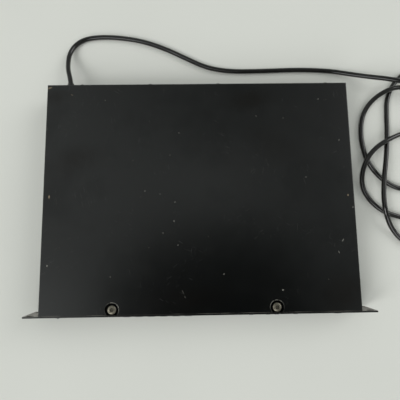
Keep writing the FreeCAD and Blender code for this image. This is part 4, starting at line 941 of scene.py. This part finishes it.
# ---- the mains lead ----
LEAD_REST, LEAD_OVER = 0.0037, 0.0148     # height of its middle on the floor, and over another stretch
LEAD_ROUTE = (
    (-0.19353, 0.17684, 0.02525), (-0.1955, 0.187, 0.0241), (-0.2004, 0.2015, 0.0196),
    (-0.2032, 0.2175, 0.0132), (-0.2034, 0.235, 0.0078), (-0.196, 0.2518, 0.0046), (-0.1805, 0.2627, LEAD_REST),
    (-0.157, 0.2661, LEAD_REST), (-0.127, 0.265, LEAD_REST), (-0.088, 0.2586, LEAD_REST),
    (-0.050, 0.2445, LEAD_REST), (-0.017, 0.2277, LEAD_REST), (0.014, 0.2123, LEAD_REST),
    (0.050, 0.2053, LEAD_REST), (0.098, 0.2052, LEAD_REST), (0.158, 0.2074, LEAD_REST),
    (0.211, 0.2053, LEAD_REST), (0.248, 0.197, 0.007), (0.273, 0.1893, 0.014), (0.295, 0.183, 0.021),
    (0.318, 0.1775, 0.023), (0.344, 0.173, 0.021), (0.371, 0.163, 0.014), (0.396, 0.146, 0.0065),
    (0.418, 0.121, LEAD_REST), (0.430, 0.088, LEAD_REST), (0.433, 0.050, LEAD_REST), (0.428, 0.014, 0.008),
    (0.419, -0.013, LEAD_OVER), (0.405, -0.041, LEAD_OVER), (0.384, -0.064, 0.008), (0.357, -0.079, LEAD_REST),
    (0.329, -0.081, LEAD_REST), (0.306, -0.0685, LEAD_REST), (0.289, -0.0485, 0.0075),
    (0.2795, -0.0265, LEAD_OVER), (0.2783, -0.002, LEAD_OVER), (0.281, 0.023, LEAD_OVER),
    (0.2855, 0.048, LEAD_OVER), (0.293, 0.074, 0.008), (0.298, 0.101, LEAD_REST), (0.2993, 0.129, LEAD_REST),
    (0.3015, 0.155, LEAD_REST), (0.312, 0.1785, LEAD_REST), (0.331, 0.198, LEAD_REST),
    (0.357, 0.212, LEAD_REST), (0.389, 0.214, LEAD_REST), (0.420, 0.203, LEAD_REST),
    (0.445, 0.181, LEAD_REST), (0.461, 0.150, LEAD_REST),
    (0.469, 0.112, LEAD_REST), (0.470, 0.073, LEAD_REST), (0.463, 0.036, LEAD_REST), (0.448, 0.004, LEAD_REST),
    (0.425, -0.022, LEAD_REST), (0.396, -0.038, LEAD_REST), (0.364, -0.0435, LEAD_REST),
    (0.333, -0.040, LEAD_REST), (0.306, -0.0328, LEAD_REST), (0.281, -0.024, LEAD_REST),
    (0.262, -0.007, LEAD_REST), (0.2515, 0.014, 0.0045), (0.2505, 0.036, 0.0095),
    (0.258, 0.058, LEAD_OVER), (0.274, 0.0755, LEAD_OVER),
    (0.295, 0.0875, LEAD_OVER), (0.316, 0.097, 0.009), (0.337, 0.102, 0.0042), (0.356, 0.098, LEAD_REST),
    (0.369, 0.083, LEAD_REST), (0.373, 0.062, LEAD_REST), (0.367, 0.041, LEAD_REST), (0.353, 0.024, LEAD_REST),
    (0.333, 0.013, LEAD_REST), (0.312, 0.0095, LEAD_REST), (0.291, 0.020, LEAD_REST), (0.272, 0.039, LEAD_REST),
    (0.2605, 0.062, LEAD_REST), (0.256, 0.088, LEAD_REST), (0.257, 0.114, LEAD_REST), (0.264, 0.137, 0.0042),
    (0.278, 0.155, 0.009), (0.297, 0.1665, LEAD_OVER), (0.318, 0.1725, 0.0135), (0.338, 0.1715, 0.0085),
    (0.354, 0.163, 0.005), (0.366, 0.149, 0.0065), (0.373, 0.1336, 0.0098),
)
BUSH_LEAN = math.tan(math.radians(9))           # the lead pulls its bush over to the left
PLUG_END = Vector((0.391, 0.0946, 0.0122))       # a point further along the plug's axis
PLUG_TAIL, PLUG_GRIP = 0.022, 0.038
PLUG_WIDTH, PLUG_HEIGHT = 0.027, 0.022


class RACKUNIT_OT_lead(Operator):
    """Lay the mains lead along its route"""
    bl_idname = "rackunit.lead"
    bl_label = "Lay the Mains Lead"

    def execute(self, context):
        diameter = settings().lead.diameter
        curve = bpy.data.curves.new("mains_lead", "CURVE")
        curve.dimensions = "3D"
        spline = curve.splines.new("NURBS")
        spline.points.add(len(LEAD_ROUTE) - 1)
        for point, place in zip(spline.points, LEAD_ROUTE):
            point.co = (*place, 1.0)
        spline.order_u = 3
        spline.use_endpoint_u = True
        spline.resolution_u = 8
        curve.bevel_depth = diameter / 2
        curve.bevel_resolution = 6
        curve.use_fill_caps = True
        curve.materials.append(material("lead_sheath"))
        lead = bpy.data.objects.new("mains_lead", curve)
        context.scene.collection.objects.link(lead)
        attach(lead, ROOT)
        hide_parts("power_cord")
        return {"FINISHED"}


def plug_frame():
    """Matrix that takes a shape made along +X from the origin to the end of the lead."""
    start = Vector(LEAD_ROUTE[-1])
    level = Vector((PLUG_END.x - start.x, PLUG_END.y - start.y, 0.0)).normalized()
    side = Vector((-level.y, level.x, 0.0))
    turn = Matrix((level, side, Vector((0, 0, 1)))).transposed().to_4x4()
    return Matrix.Translation(start) @ turn


class RACKUNIT_OT_plug(Operator):
    """Mould the plug and its ribbed tail"""
    bl_idname = "rackunit.plug"
    bl_label = "Mould the Plug"

    def execute(self, context):
        sizes = settings().lead
        half_wide = PLUG_WIDTH / 2
        floor = 0.0002 - LEAD_ROUTE[-1][2]
        top, middle = floor + PLUG_HEIGHT - 0.0003, floor + PLUG_HEIGHT / 2
        neck = sizes.diameter / 2 + 0.0009
        tail_end = PLUG_TAIL + 0.001
        cone = rounded([(0.001, 0.0), (neck, 0.0), (neck + 0.0012, tail_end)], 0.0005)
        tail = lathe([(0, 0.0)] + cone + [(0, tail_end)], Vector((0, 0, 0)), Vector((1, 0, 0)), 40)
        # distance along the grip, half width and half height
        sections = ((0.0, 0.0068, 0.0068), (0.003, 0.0090, 0.0082), (0.008, 0.0118, 0.0097),
                    (0.014, 0.0130, 0.0104), (0.026, 0.0126, 0.0104), (0.032, 0.0133, 0.0107),
                    (PLUG_GRIP, 0.0134, 0.0108))
        grip = bmesh.new()
        rings, steps = [], 40
        for along, half_y, half_z in sections:
            ring = []
            for i in range(steps):
                angle = math.tau * (i + 0.5) / steps
                c, s = math.cos(angle), math.sin(angle)
                y = half_y * math.copysign(abs(c) ** 0.55, c)
                z = middle * min(1.0, along / 0.010) + half_z * math.copysign(abs(s) ** 0.55, s)
                ring.append(grip.verts.new((PLUG_TAIL + along, max(-half_wide, min(half_wide, y)),
                                            max(floor, min(top, z)))))
            rings.append(ring)
        for first, second in zip(rings, rings[1:]):
            for i in range(steps):
                grip.faces.new((first[i], first[(i + 1) % steps], second[(i + 1) % steps], second[i]))
        grip.faces.new(rings[0])
        face = grip.faces.new(rings[-1])
        bmesh.ops.recalc_face_normals(grip, faces=grip.faces)
        bmesh.ops.inset_individual(grip, faces=[face], thickness=0.0012, depth=0.0)
        bmesh.ops.translate(grip, verts=face.verts, vec=(-0.0004, 0, 0))
        whole = joined(tail, grip)
        places = [(Vector((0.0030, 0, 0)), Vector((1, 0, 0)))]
        ribs = from_tree(rings_on_points, places, {
            "Count": sizes.rib_count, "Pitch": (PLUG_TAIL - 0.006) / max(1, sizes.rib_count - 1),
            "First Radius": neck + 0.0002, "Last Radius": neck + 0.0011, "Thickness": 0.0008}, "lead_sheath")
        add_mesh(whole, ribs)
        for side in (-1, 1):
            for i in range(sizes.grip_ridges):
                along = PLUG_TAIL + 0.014 + i * 0.0024
                low = Vector((along, side * 0.0126 - 0.0007, middle - 0.0055))
                high = Vector((along + 0.0011, side * 0.0126 + 0.0007, middle + 0.0055))
                whole = joined(whole, bar(low, high, 0.0004))
        whole.transform(plug_frame())
        new_piece("moulded_plug", whole, ROOT, "lead_sheath", ["plug_body"])
        return {"FINISHED"}


class RACKUNIT_OT_blades(Operator):
    """Set the two flat blades and the earth pin into the plug"""
    bl_idname = "rackunit.blades"
    bl_label = "Set the Plug's Blades"

    def execute(self, context):
        reach = settings().lead.blade
        floor = 0.0004 - LEAD_ROUTE[-1][2]
        middle = floor + PLUG_HEIGHT / 2
        face = PLUG_TAIL + PLUG_GRIP - 0.0006
        rise, half_height, half_thick, spacing = 0.0055, 0.00315, 0.00075, 0.00635
        shapes = []
        for side in (-1, 1):
            low = Vector((face, side * spacing - half_thick, middle - rise / 2 - half_height))
            high = Vector((face + reach, side * spacing + half_thick, middle - rise / 2 + half_height))
            shapes.append(bar(low, high, 0.0005, 3))
        pin, dome, shoulder = 0.0024, 0.0018, reach + 0.0015
        tip = [(pin * math.cos(math.radians(angle)), shoulder + dome * math.sin(math.radians(angle)))
               for angle in (20, 40, 60, 78)]
        earth = lathe([(0, 0.0), (pin, 0.0), (pin, shoulder)] + tip + [(0, reach + 0.0034)],
                      Vector((face, 0, middle + rise)), Vector((1, 0, 0)), 32)
        whole = joined(*shapes, earth)
        whole.transform(plug_frame())
        new_piece("plug_blades", whole, ROOT, "blade_brass", ["plug_pins"])
        return {"FINISHED"}


class RACKUNIT_OT_bush(Operator):
    """Fit the tapered bush where the lead leaves the rear"""
    bl_idname = "rackunit.bush"
    bl_label = "Fit the Lead's Bush"

    def execute(self, context):
        low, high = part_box("strain_relief")
        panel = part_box("rear_panel")[1].y
        start = Vector(((low.x + high.x) / 2, low.y, (low.z + high.z) / 2))
        reach, flange_at = LEAD_ROUTE[0][1] - low.y, panel - low.y
        wide, waist, tip = (high.x - low.x) / 2, 0.0056, 0.0044
        bore = settings().lead.diameter / 2 - 0.0001
        profile = rounded([(bore, 0.0), (waist, 0.0), (waist, flange_at), (wide, flange_at),
                           (wide, flange_at + 0.0021), (waist + 0.0007, flange_at + 0.0024), (tip, reach),
                           (bore, reach)], 0.0006, 3)
        body = lathe(profile + [profile[0]], start, Vector((0, 1, 0)), 56)
        bmesh.ops.remove_doubles(body, verts=body.verts, dist=1e-7)
        bmesh.ops.recalc_face_normals(body, faces=body.faces)
        ribs = from_tree(rings_on_points, [(start + Vector((0, flange_at + 0.0042, 0)), Vector((0, 1, 0)))], {
            "Count": 4, "Pitch": 0.0021, "First Radius": waist + 0.0001, "Last Radius": tip + 0.0002,
            "Thickness": 0.0005}, "lead_sheath")
        add_mesh(body, ribs)
        for corner in body.verts:
            corner.co.x -= BUSH_LEAN * max(0.0, corner.co.y - panel - 0.001)
        new_piece("lead_bush", body, ROOT, "lead_sheath", ["strain_relief"])
        return {"FINISHED"}


# ---- casing ----
class RACKUNIT_OT_casing(Operator):
    """Enamel the cover, tray and rear, and paint the front panel"""
    bl_idname = "rackunit.casing"
    bl_label = "Finish the Casing"

    def execute(self, context):
        coat("worn_case_enamel", "top_cover")
        coat("case_enamel", "chassis_tray", "rear_panel")
        coat("panel_paint", "front_panel")
        coat("foot_rubber", "rubber_feet")
        return {"FINISHED"}


def screw_places(part, direction, head):
    """Seat and outward direction of each of a part's screws, the head's radius and the shank's length.

    Without a direction, each screw faces its own side of the unit, left or right."""
    places = []
    for low, high in solids(part):
        middle, size = (low + high) / 2, high - low
        outward = direction or Vector((math.copysign(1, middle.x), 0, 0))
        length_along = abs(size.dot(outward))
        radius = max(size[i] for i in range(3) if abs(outward[i]) < 0.5) / 2
        places.append((middle + outward * (length_along / 2 - head), outward))
    return places, radius, length_along - head


class RACKUNIT_OT_screws(Operator):
    """Fit every screw, each turned by its own amount"""
    bl_idname = "rackunit.screws"
    bl_label = "Fit the Screws"

    def execute(self, context):
        fittings = settings().fittings
        up, down, front, rear = Vector((0, 0, 1)), Vector((0, 0, -1)), Vector((0, -1, 0)), Vector((0, 1, 0))
        oxide, zinc = ("black_oxide", "black_screws"), ("bright_zinc", "zinc_screws")
        # part, direction, head height, sink, finish and slot, recess depth, shank's share of the head's width
        kinds = (
            ("cover_front_screws", up, 0.0023, 0.0, ("yellow_zinc", "yellow_zinc"), 0.0013, 0.33),
            ("cover_side_screws", None, 0.0018, 0.0, oxide, 0.0011, 0.53),
            ("cover_rear_screws", rear, 0.0018, 0.0, oxide, 0.0011, 0.53),
            ("rear_panel_screws", down, 0.0014, 0.0, zinc, 0.0009, 0.53),
            ("foot_screws", down, 0.0014, 0.0, zinc, 0.0009, 0.53),
            ("board_screws", up, 0.0018, 0.0, zinc, 0.0011, 0.53),
            ("front_panel_screws", front, 0.00001, 0.0015, oxide, 0.0010, 0.5),
        )
        for part, direction, head, sink, (finish_name, slot), recess, shank_share in kinds:
            places, radius, shank = screw_places(part, direction, head)
            made = from_tree(screws_on_points, places, {
                "Head Radius": radius, "Head Height": head, "Sink": sink, "Shank Radius": radius * shank_share,
                "Shank Length": shank, "Recess Width": 2 * radius * fittings.recess_width,
                "Recess Slot": 2 * radius * fittings.recess_slot, "Recess Depth": recess,
                "Seed": fittings.screw_seed}, finish_name)
            new_piece(part.replace("_screws", "_screw_set"), made, ROOT, finish_name, [part], 28)
        coat("bright_zinc", "front_board_screws", "transformer_screws", "board_standoffs",
             "front_board_spacers")
        return {"FINISHED"}


# ---- front ----
def knob_piece(part, name, ribs):
    """Flat knob on a hub, with a dished face, ribs around its side and a pointer line."""
    low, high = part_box(part)
    middle, radius = (low + high) / 2, (high.x - low.x) / 2
    face = Vector((middle.x, low.y, middle.z))
    front, back, end = 0.0001, PANEL_LOW.y - 0.0005 - low.y, high.y - low.y
    body, hub, bore = radius - 0.0004, 0.0042, 0.0031
    profile = [(0, front + 0.0003), (body * 0.5, front + 0.0003)] + rounded(
        [(body * 0.6, front + 0.0002), (body * 0.74, front), (body, front), (body, back - 0.0005),
         (radius - 0.0001, back - 0.0005), (radius - 0.0001, back), (hub, back), (hub, end), (bore, end),
         (bore, 0.0012)], 0.0003, 3) + [(0, 0.0012)]
    shape = lathe(profile, face, Vector((0, 1, 0)), 96)
    depth = back - 0.0009
    grips = from_tree(bars_round_points, [(face + Vector((0, 0.0004 + depth / 2, 0)), Vector((0, -1, 0)))], {
        "Count": ribs + 1, "Radius": body - 0.00005, "Start": 0.0, "Sweep": math.tau, "Bar Length": 0.0007,
        "Bar Width": 0.0004, "Bar Depth": depth}, "knob_plastic")
    add_mesh(shape, grips)
    new_piece(name, shape, part, "knob_plastic", [part], 40)
    line = bar(face + Vector((-0.0003, 0.0, radius * 0.42)), face + Vector((0.0003, 0.0006, body - 0.0005)),
               0.00004, 1)
    new_piece(name + "_pointer", line, part, "printed_marks")


class RACKUNIT_OT_knobs(Operator):
    """Turn the two knobs and print the marks around them"""
    bl_idname = "rackunit.knobs"
    bl_label = "Make the Knobs"

    def execute(self, context):
        fittings = settings().fittings
        knob_piece("input_knob", "input_control_knob", round(fittings.knob_ribs * 0.6))
        knob_piece("output_knob", "output_control_knob", fittings.knob_ribs)
        dials = []
        for part in ("input_knob", "output_knob"):
            low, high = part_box(part)
            middle, radius = (low + high) / 2, (high.x - low.x) / 2
            centre = Vector((middle.x, PANEL_LOW.y, middle.z))
            dials.append(from_tree(bars_round_points, [(centre, Vector((0, -1, 0)))], {
                "Count": fittings.dial_marks, "Radius": radius + 0.0026,
                "Start": math.pi / 2 + fittings.dial_sweep / 2, "Sweep": -fittings.dial_sweep,
                "Bar Length": 0.0018, "Bar Width": 0.00035, "Bar Depth": 0.00012}, "printed_marks"))
        whole = bmesh.new()
        for made in dials:
            add_mesh(whole, made)
        new_piece("dial_marks", whole, ROOT, "printed_marks")
        coat("turned_aluminium", "input_pot_shaft", "output_pot_shaft")
        return {"FINISHED"}


class RACKUNIT_OT_controls(Operator):
    """Finish the buttons, lamps, power switch and display"""
    bl_idname = "rackunit.controls"
    bl_label = "Finish the Front Controls"

    def execute(self, context):
        coat("button_plastic", *[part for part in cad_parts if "_button_" in part])
        coat("switch_plastic", "power_rocker", "power_switch_body", "button_switches", "pot_bodies")
        coat("lamp_lens", "indicator_lamps")
        coat("display_tint", "display_window")
        coat("display_plastic", "display_module")
        return {"FINISHED"}


# ---- rear ----
class RACKUNIT_OT_rear(Operator):
    """Finish the sockets, level switch and fuse, and cut the sockets' threads"""
    bl_idname = "rackunit.rear"
    bl_label = "Finish the Rear Fittings"

    def execute(self, context):
        coat("switch_plastic", "jack_bodies", "data_sockets", "level_switch_body", "level_switch_lever",
             "fuse_holder", "fuse_cap")
        coat("nickel", "jack_nuts")
        coat("fuse_parts", "fuse")
        bushing = 0.0046
        places = [(Vector(((low.x + high.x) / 2, high.y + 0.0003, (low.z + high.z) / 2)), Vector((0, 1, 0)))
                  for low, high in solids("jack_nuts")]
        threads = from_tree(rings_on_points, places, {
            "Count": 5, "Pitch": 0.0005, "First Radius": bushing, "Last Radius": bushing, "Thickness": 0.00018},
            "switch_plastic")
        new_piece("jack_threads", threads, ROOT, "switch_plastic")
        return {"FINISHED"}


# ---- inside ----
class RACKUNIT_OT_inside(Operator):
    """Finish the boards, the transformer and the wiring"""
    bl_idname = "rackunit.inside"
    bl_label = "Finish the Inside"

    def execute(self, context):
        coat("solder_mask", "front_board", "main_board")
        coat("chip_epoxy", "logic_chips", "regulators")
        coat("capacitor_sleeve", "capacitors")
        coat("black_anodised", "heatsink")
        coat("laminations", "transformer_core")
        coat("winding_tape", "transformer_winding")
        coat("bracket_steel", "transformer_bracket")
        coat("wire_insulation", "mains_wires", "ribbon_cable")
        return {"FINISHED"}


# ---- stage ----
# Patches of the surroundings overhead: direction, inner and outer angle in degrees, and how much is added
# there (below 0 for a dim one) as a share of what is there.
OVERHEAD_PATCHES = (
    ((0.05, -0.25, 1.0), 13, 22, -1.0), ((0.32, -0.03, 1.0), 3, 18, -0.30), ((0.22, 0.44, 1.0), 4, 16, -0.45),
    ((-0.47, -0.26, 1.0), 3, 13, 0.7), ((-0.05, 0.60, 1.0), 7, 20, -0.35), ((0.13, 0.20, 1.0), 2, 13, 0.26),
)


CAMERA_PLACE, CAMERA_TURN = (-0.0073, -0.0769, 0.5564), (7.706, -0.763, -0.881)    # metres and degrees
SKY_TINT = (0.95, 1.0, 0.972, 1.0)


def lamp(name, towards, width, strength):
    """Soft lamp far off in a direction, as wide as that many degrees."""
    light = bpy.data.lights.new(name, "SUN")
    light.angle, light.energy = math.radians(width), strength
    made = bpy.data.objects.new(name, light)
    made.rotation_euler = (-Vector(towards)).to_track_quat("-Z", "Y").to_euler()
    bpy.context.scene.collection.objects.link(made)


class RACKUNIT_OT_stage(Operator):
    """Set the camera, lamps, surroundings and floor"""
    bl_idname = "rackunit.stage"
    bl_label = "Set the Stage"

    def execute(self, context):
        stage = settings().stage
        scene = context.scene
        scene.view_settings.view_transform = "Standard"
        camera = bpy.data.objects.new("camera", bpy.data.cameras.new("camera"))
        camera.data.lens, camera.data.sensor_width = stage.lens, 36.0
        camera.data.clip_start = 0.01
        camera.location = CAMERA_PLACE
        camera.rotation_euler = [math.radians(angle) for angle in CAMERA_TURN]
        scene.collection.objects.link(camera)
        scene.camera = camera

        floor = bmesh.new()
        bmesh.ops.create_grid(floor, x_segments=1, y_segments=1, size=12.0)
        data = bpy.data.meshes.new("floor")
        floor.to_mesh(data)
        floor.free()
        plain = bpy.data.objects.new("floor", data)
        scene.collection.objects.link(plain)

        def floor_finish(tree, shader, position):
            """Matt floor, a little uneven in tone."""
            tone = ramp(tree, noise(tree, position, 3.0, 2.0), 0.3, 0.7, 0.985, 1.015)
            tint = vector_maths(tree, "SCALE", tuple(stage.floor))
            tree.links.new(tone, tint.inputs["Scale"])
            feed(tree, shader, Base_Color=tint.outputs[0], Roughness=0.9)
        data.materials.append(finish("pale_floor", floor_finish))

        world = bpy.data.worlds.new("surroundings")
        scene.world = world
        world.use_nodes = True
        tree = world.node_tree
        direction = node(tree, "ShaderNodeTexCoord").outputs["Generated"]
        x, _, z = axes(tree, direction)
        upper = ramp(tree, x, -0.42, 0.42, stage.left_side, stage.right_side)
        high = ramp(tree, z, 0.30, 0.72)
        level = maths(tree, "ADD", times(tree, high, upper),
                      times(tree, maths(tree, "SUBTRACT", 1.0, high), stage.horizon))
        for towards, inner, outer, added in OVERHEAD_PATCHES:
            aim = Vector(towards).normalized()
            near = vector_maths(tree, "DOT_PRODUCT", direction, aim).outputs["Value"]
            edge, core = (math.cos(math.radians(angle)) for angle in (outer, inner))
            patch = ramp(tree, near, edge, core, 1.0, 1.0 + added)
            level = times(tree, level, patch)
        tree.links.new(level, tree.nodes["Background"].inputs["Strength"])
        tree.nodes["Background"].inputs["Color"].default_value = SKY_TINT

        lamp("key_lamp", (-0.85, -0.45, 0.80), 24, stage.key)
        lamp("right_fill", (1.0, 0.45, 0.72), 36, stage.fill)
        lamp("front_fill", (-0.25, -1.0, 0.80), 36, stage.fill)
        return {"FINISHED"}


# ---- panel and registration ----
STEPS = (RACKUNIT_OT_stage, RACKUNIT_OT_bush, RACKUNIT_OT_plug, RACKUNIT_OT_blades, RACKUNIT_OT_lead,
         RACKUNIT_OT_casing, RACKUNIT_OT_screws, RACKUNIT_OT_knobs, RACKUNIT_OT_controls, RACKUNIT_OT_rear,
         RACKUNIT_OT_inside)
GROUPS = (RackUnitFinishes, RackUnitLead, RackUnitFittings, RackUnitStage, RackUnitSettings)


class RACKUNIT_PT_panel(Panel):
    """Sizes, colours and steps of the rack unit"""
    bl_idname = "RACKUNIT_PT_panel"
    bl_label = "Rack Effects Unit"
    bl_space_type = "VIEW_3D"
    bl_region_type = "UI"
    bl_category = "Rack Unit"

    def draw(self, context):
        for part in ("finishes", "lead", "fittings", "stage"):
            group = getattr(context.scene.rack_unit, part)
            box = self.layout.box()
            box.label(text=part.capitalize())
            for name in group.__annotations__:
                box.prop(group, name)
        for step in STEPS:
            self.layout.operator(step.bl_idname)


def register():
    for made in GROUPS + STEPS + (RACKUNIT_PT_panel,):
        bpy.utils.register_class(made)
    bpy.types.Scene.rack_unit = PointerProperty(type=RackUnitSettings)


def unregister():
    del bpy.types.Scene.rack_unit
    for made in reversed(GROUPS + STEPS + (RACKUNIT_PT_panel,)):
        bpy.utils.unregister_class(made)


def main():
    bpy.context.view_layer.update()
    register()
    for step in STEPS:
        group, name = step.bl_idname.split(".")
        getattr(getattr(bpy.ops, group), name)()


if __name__ == "__main__":
    main()
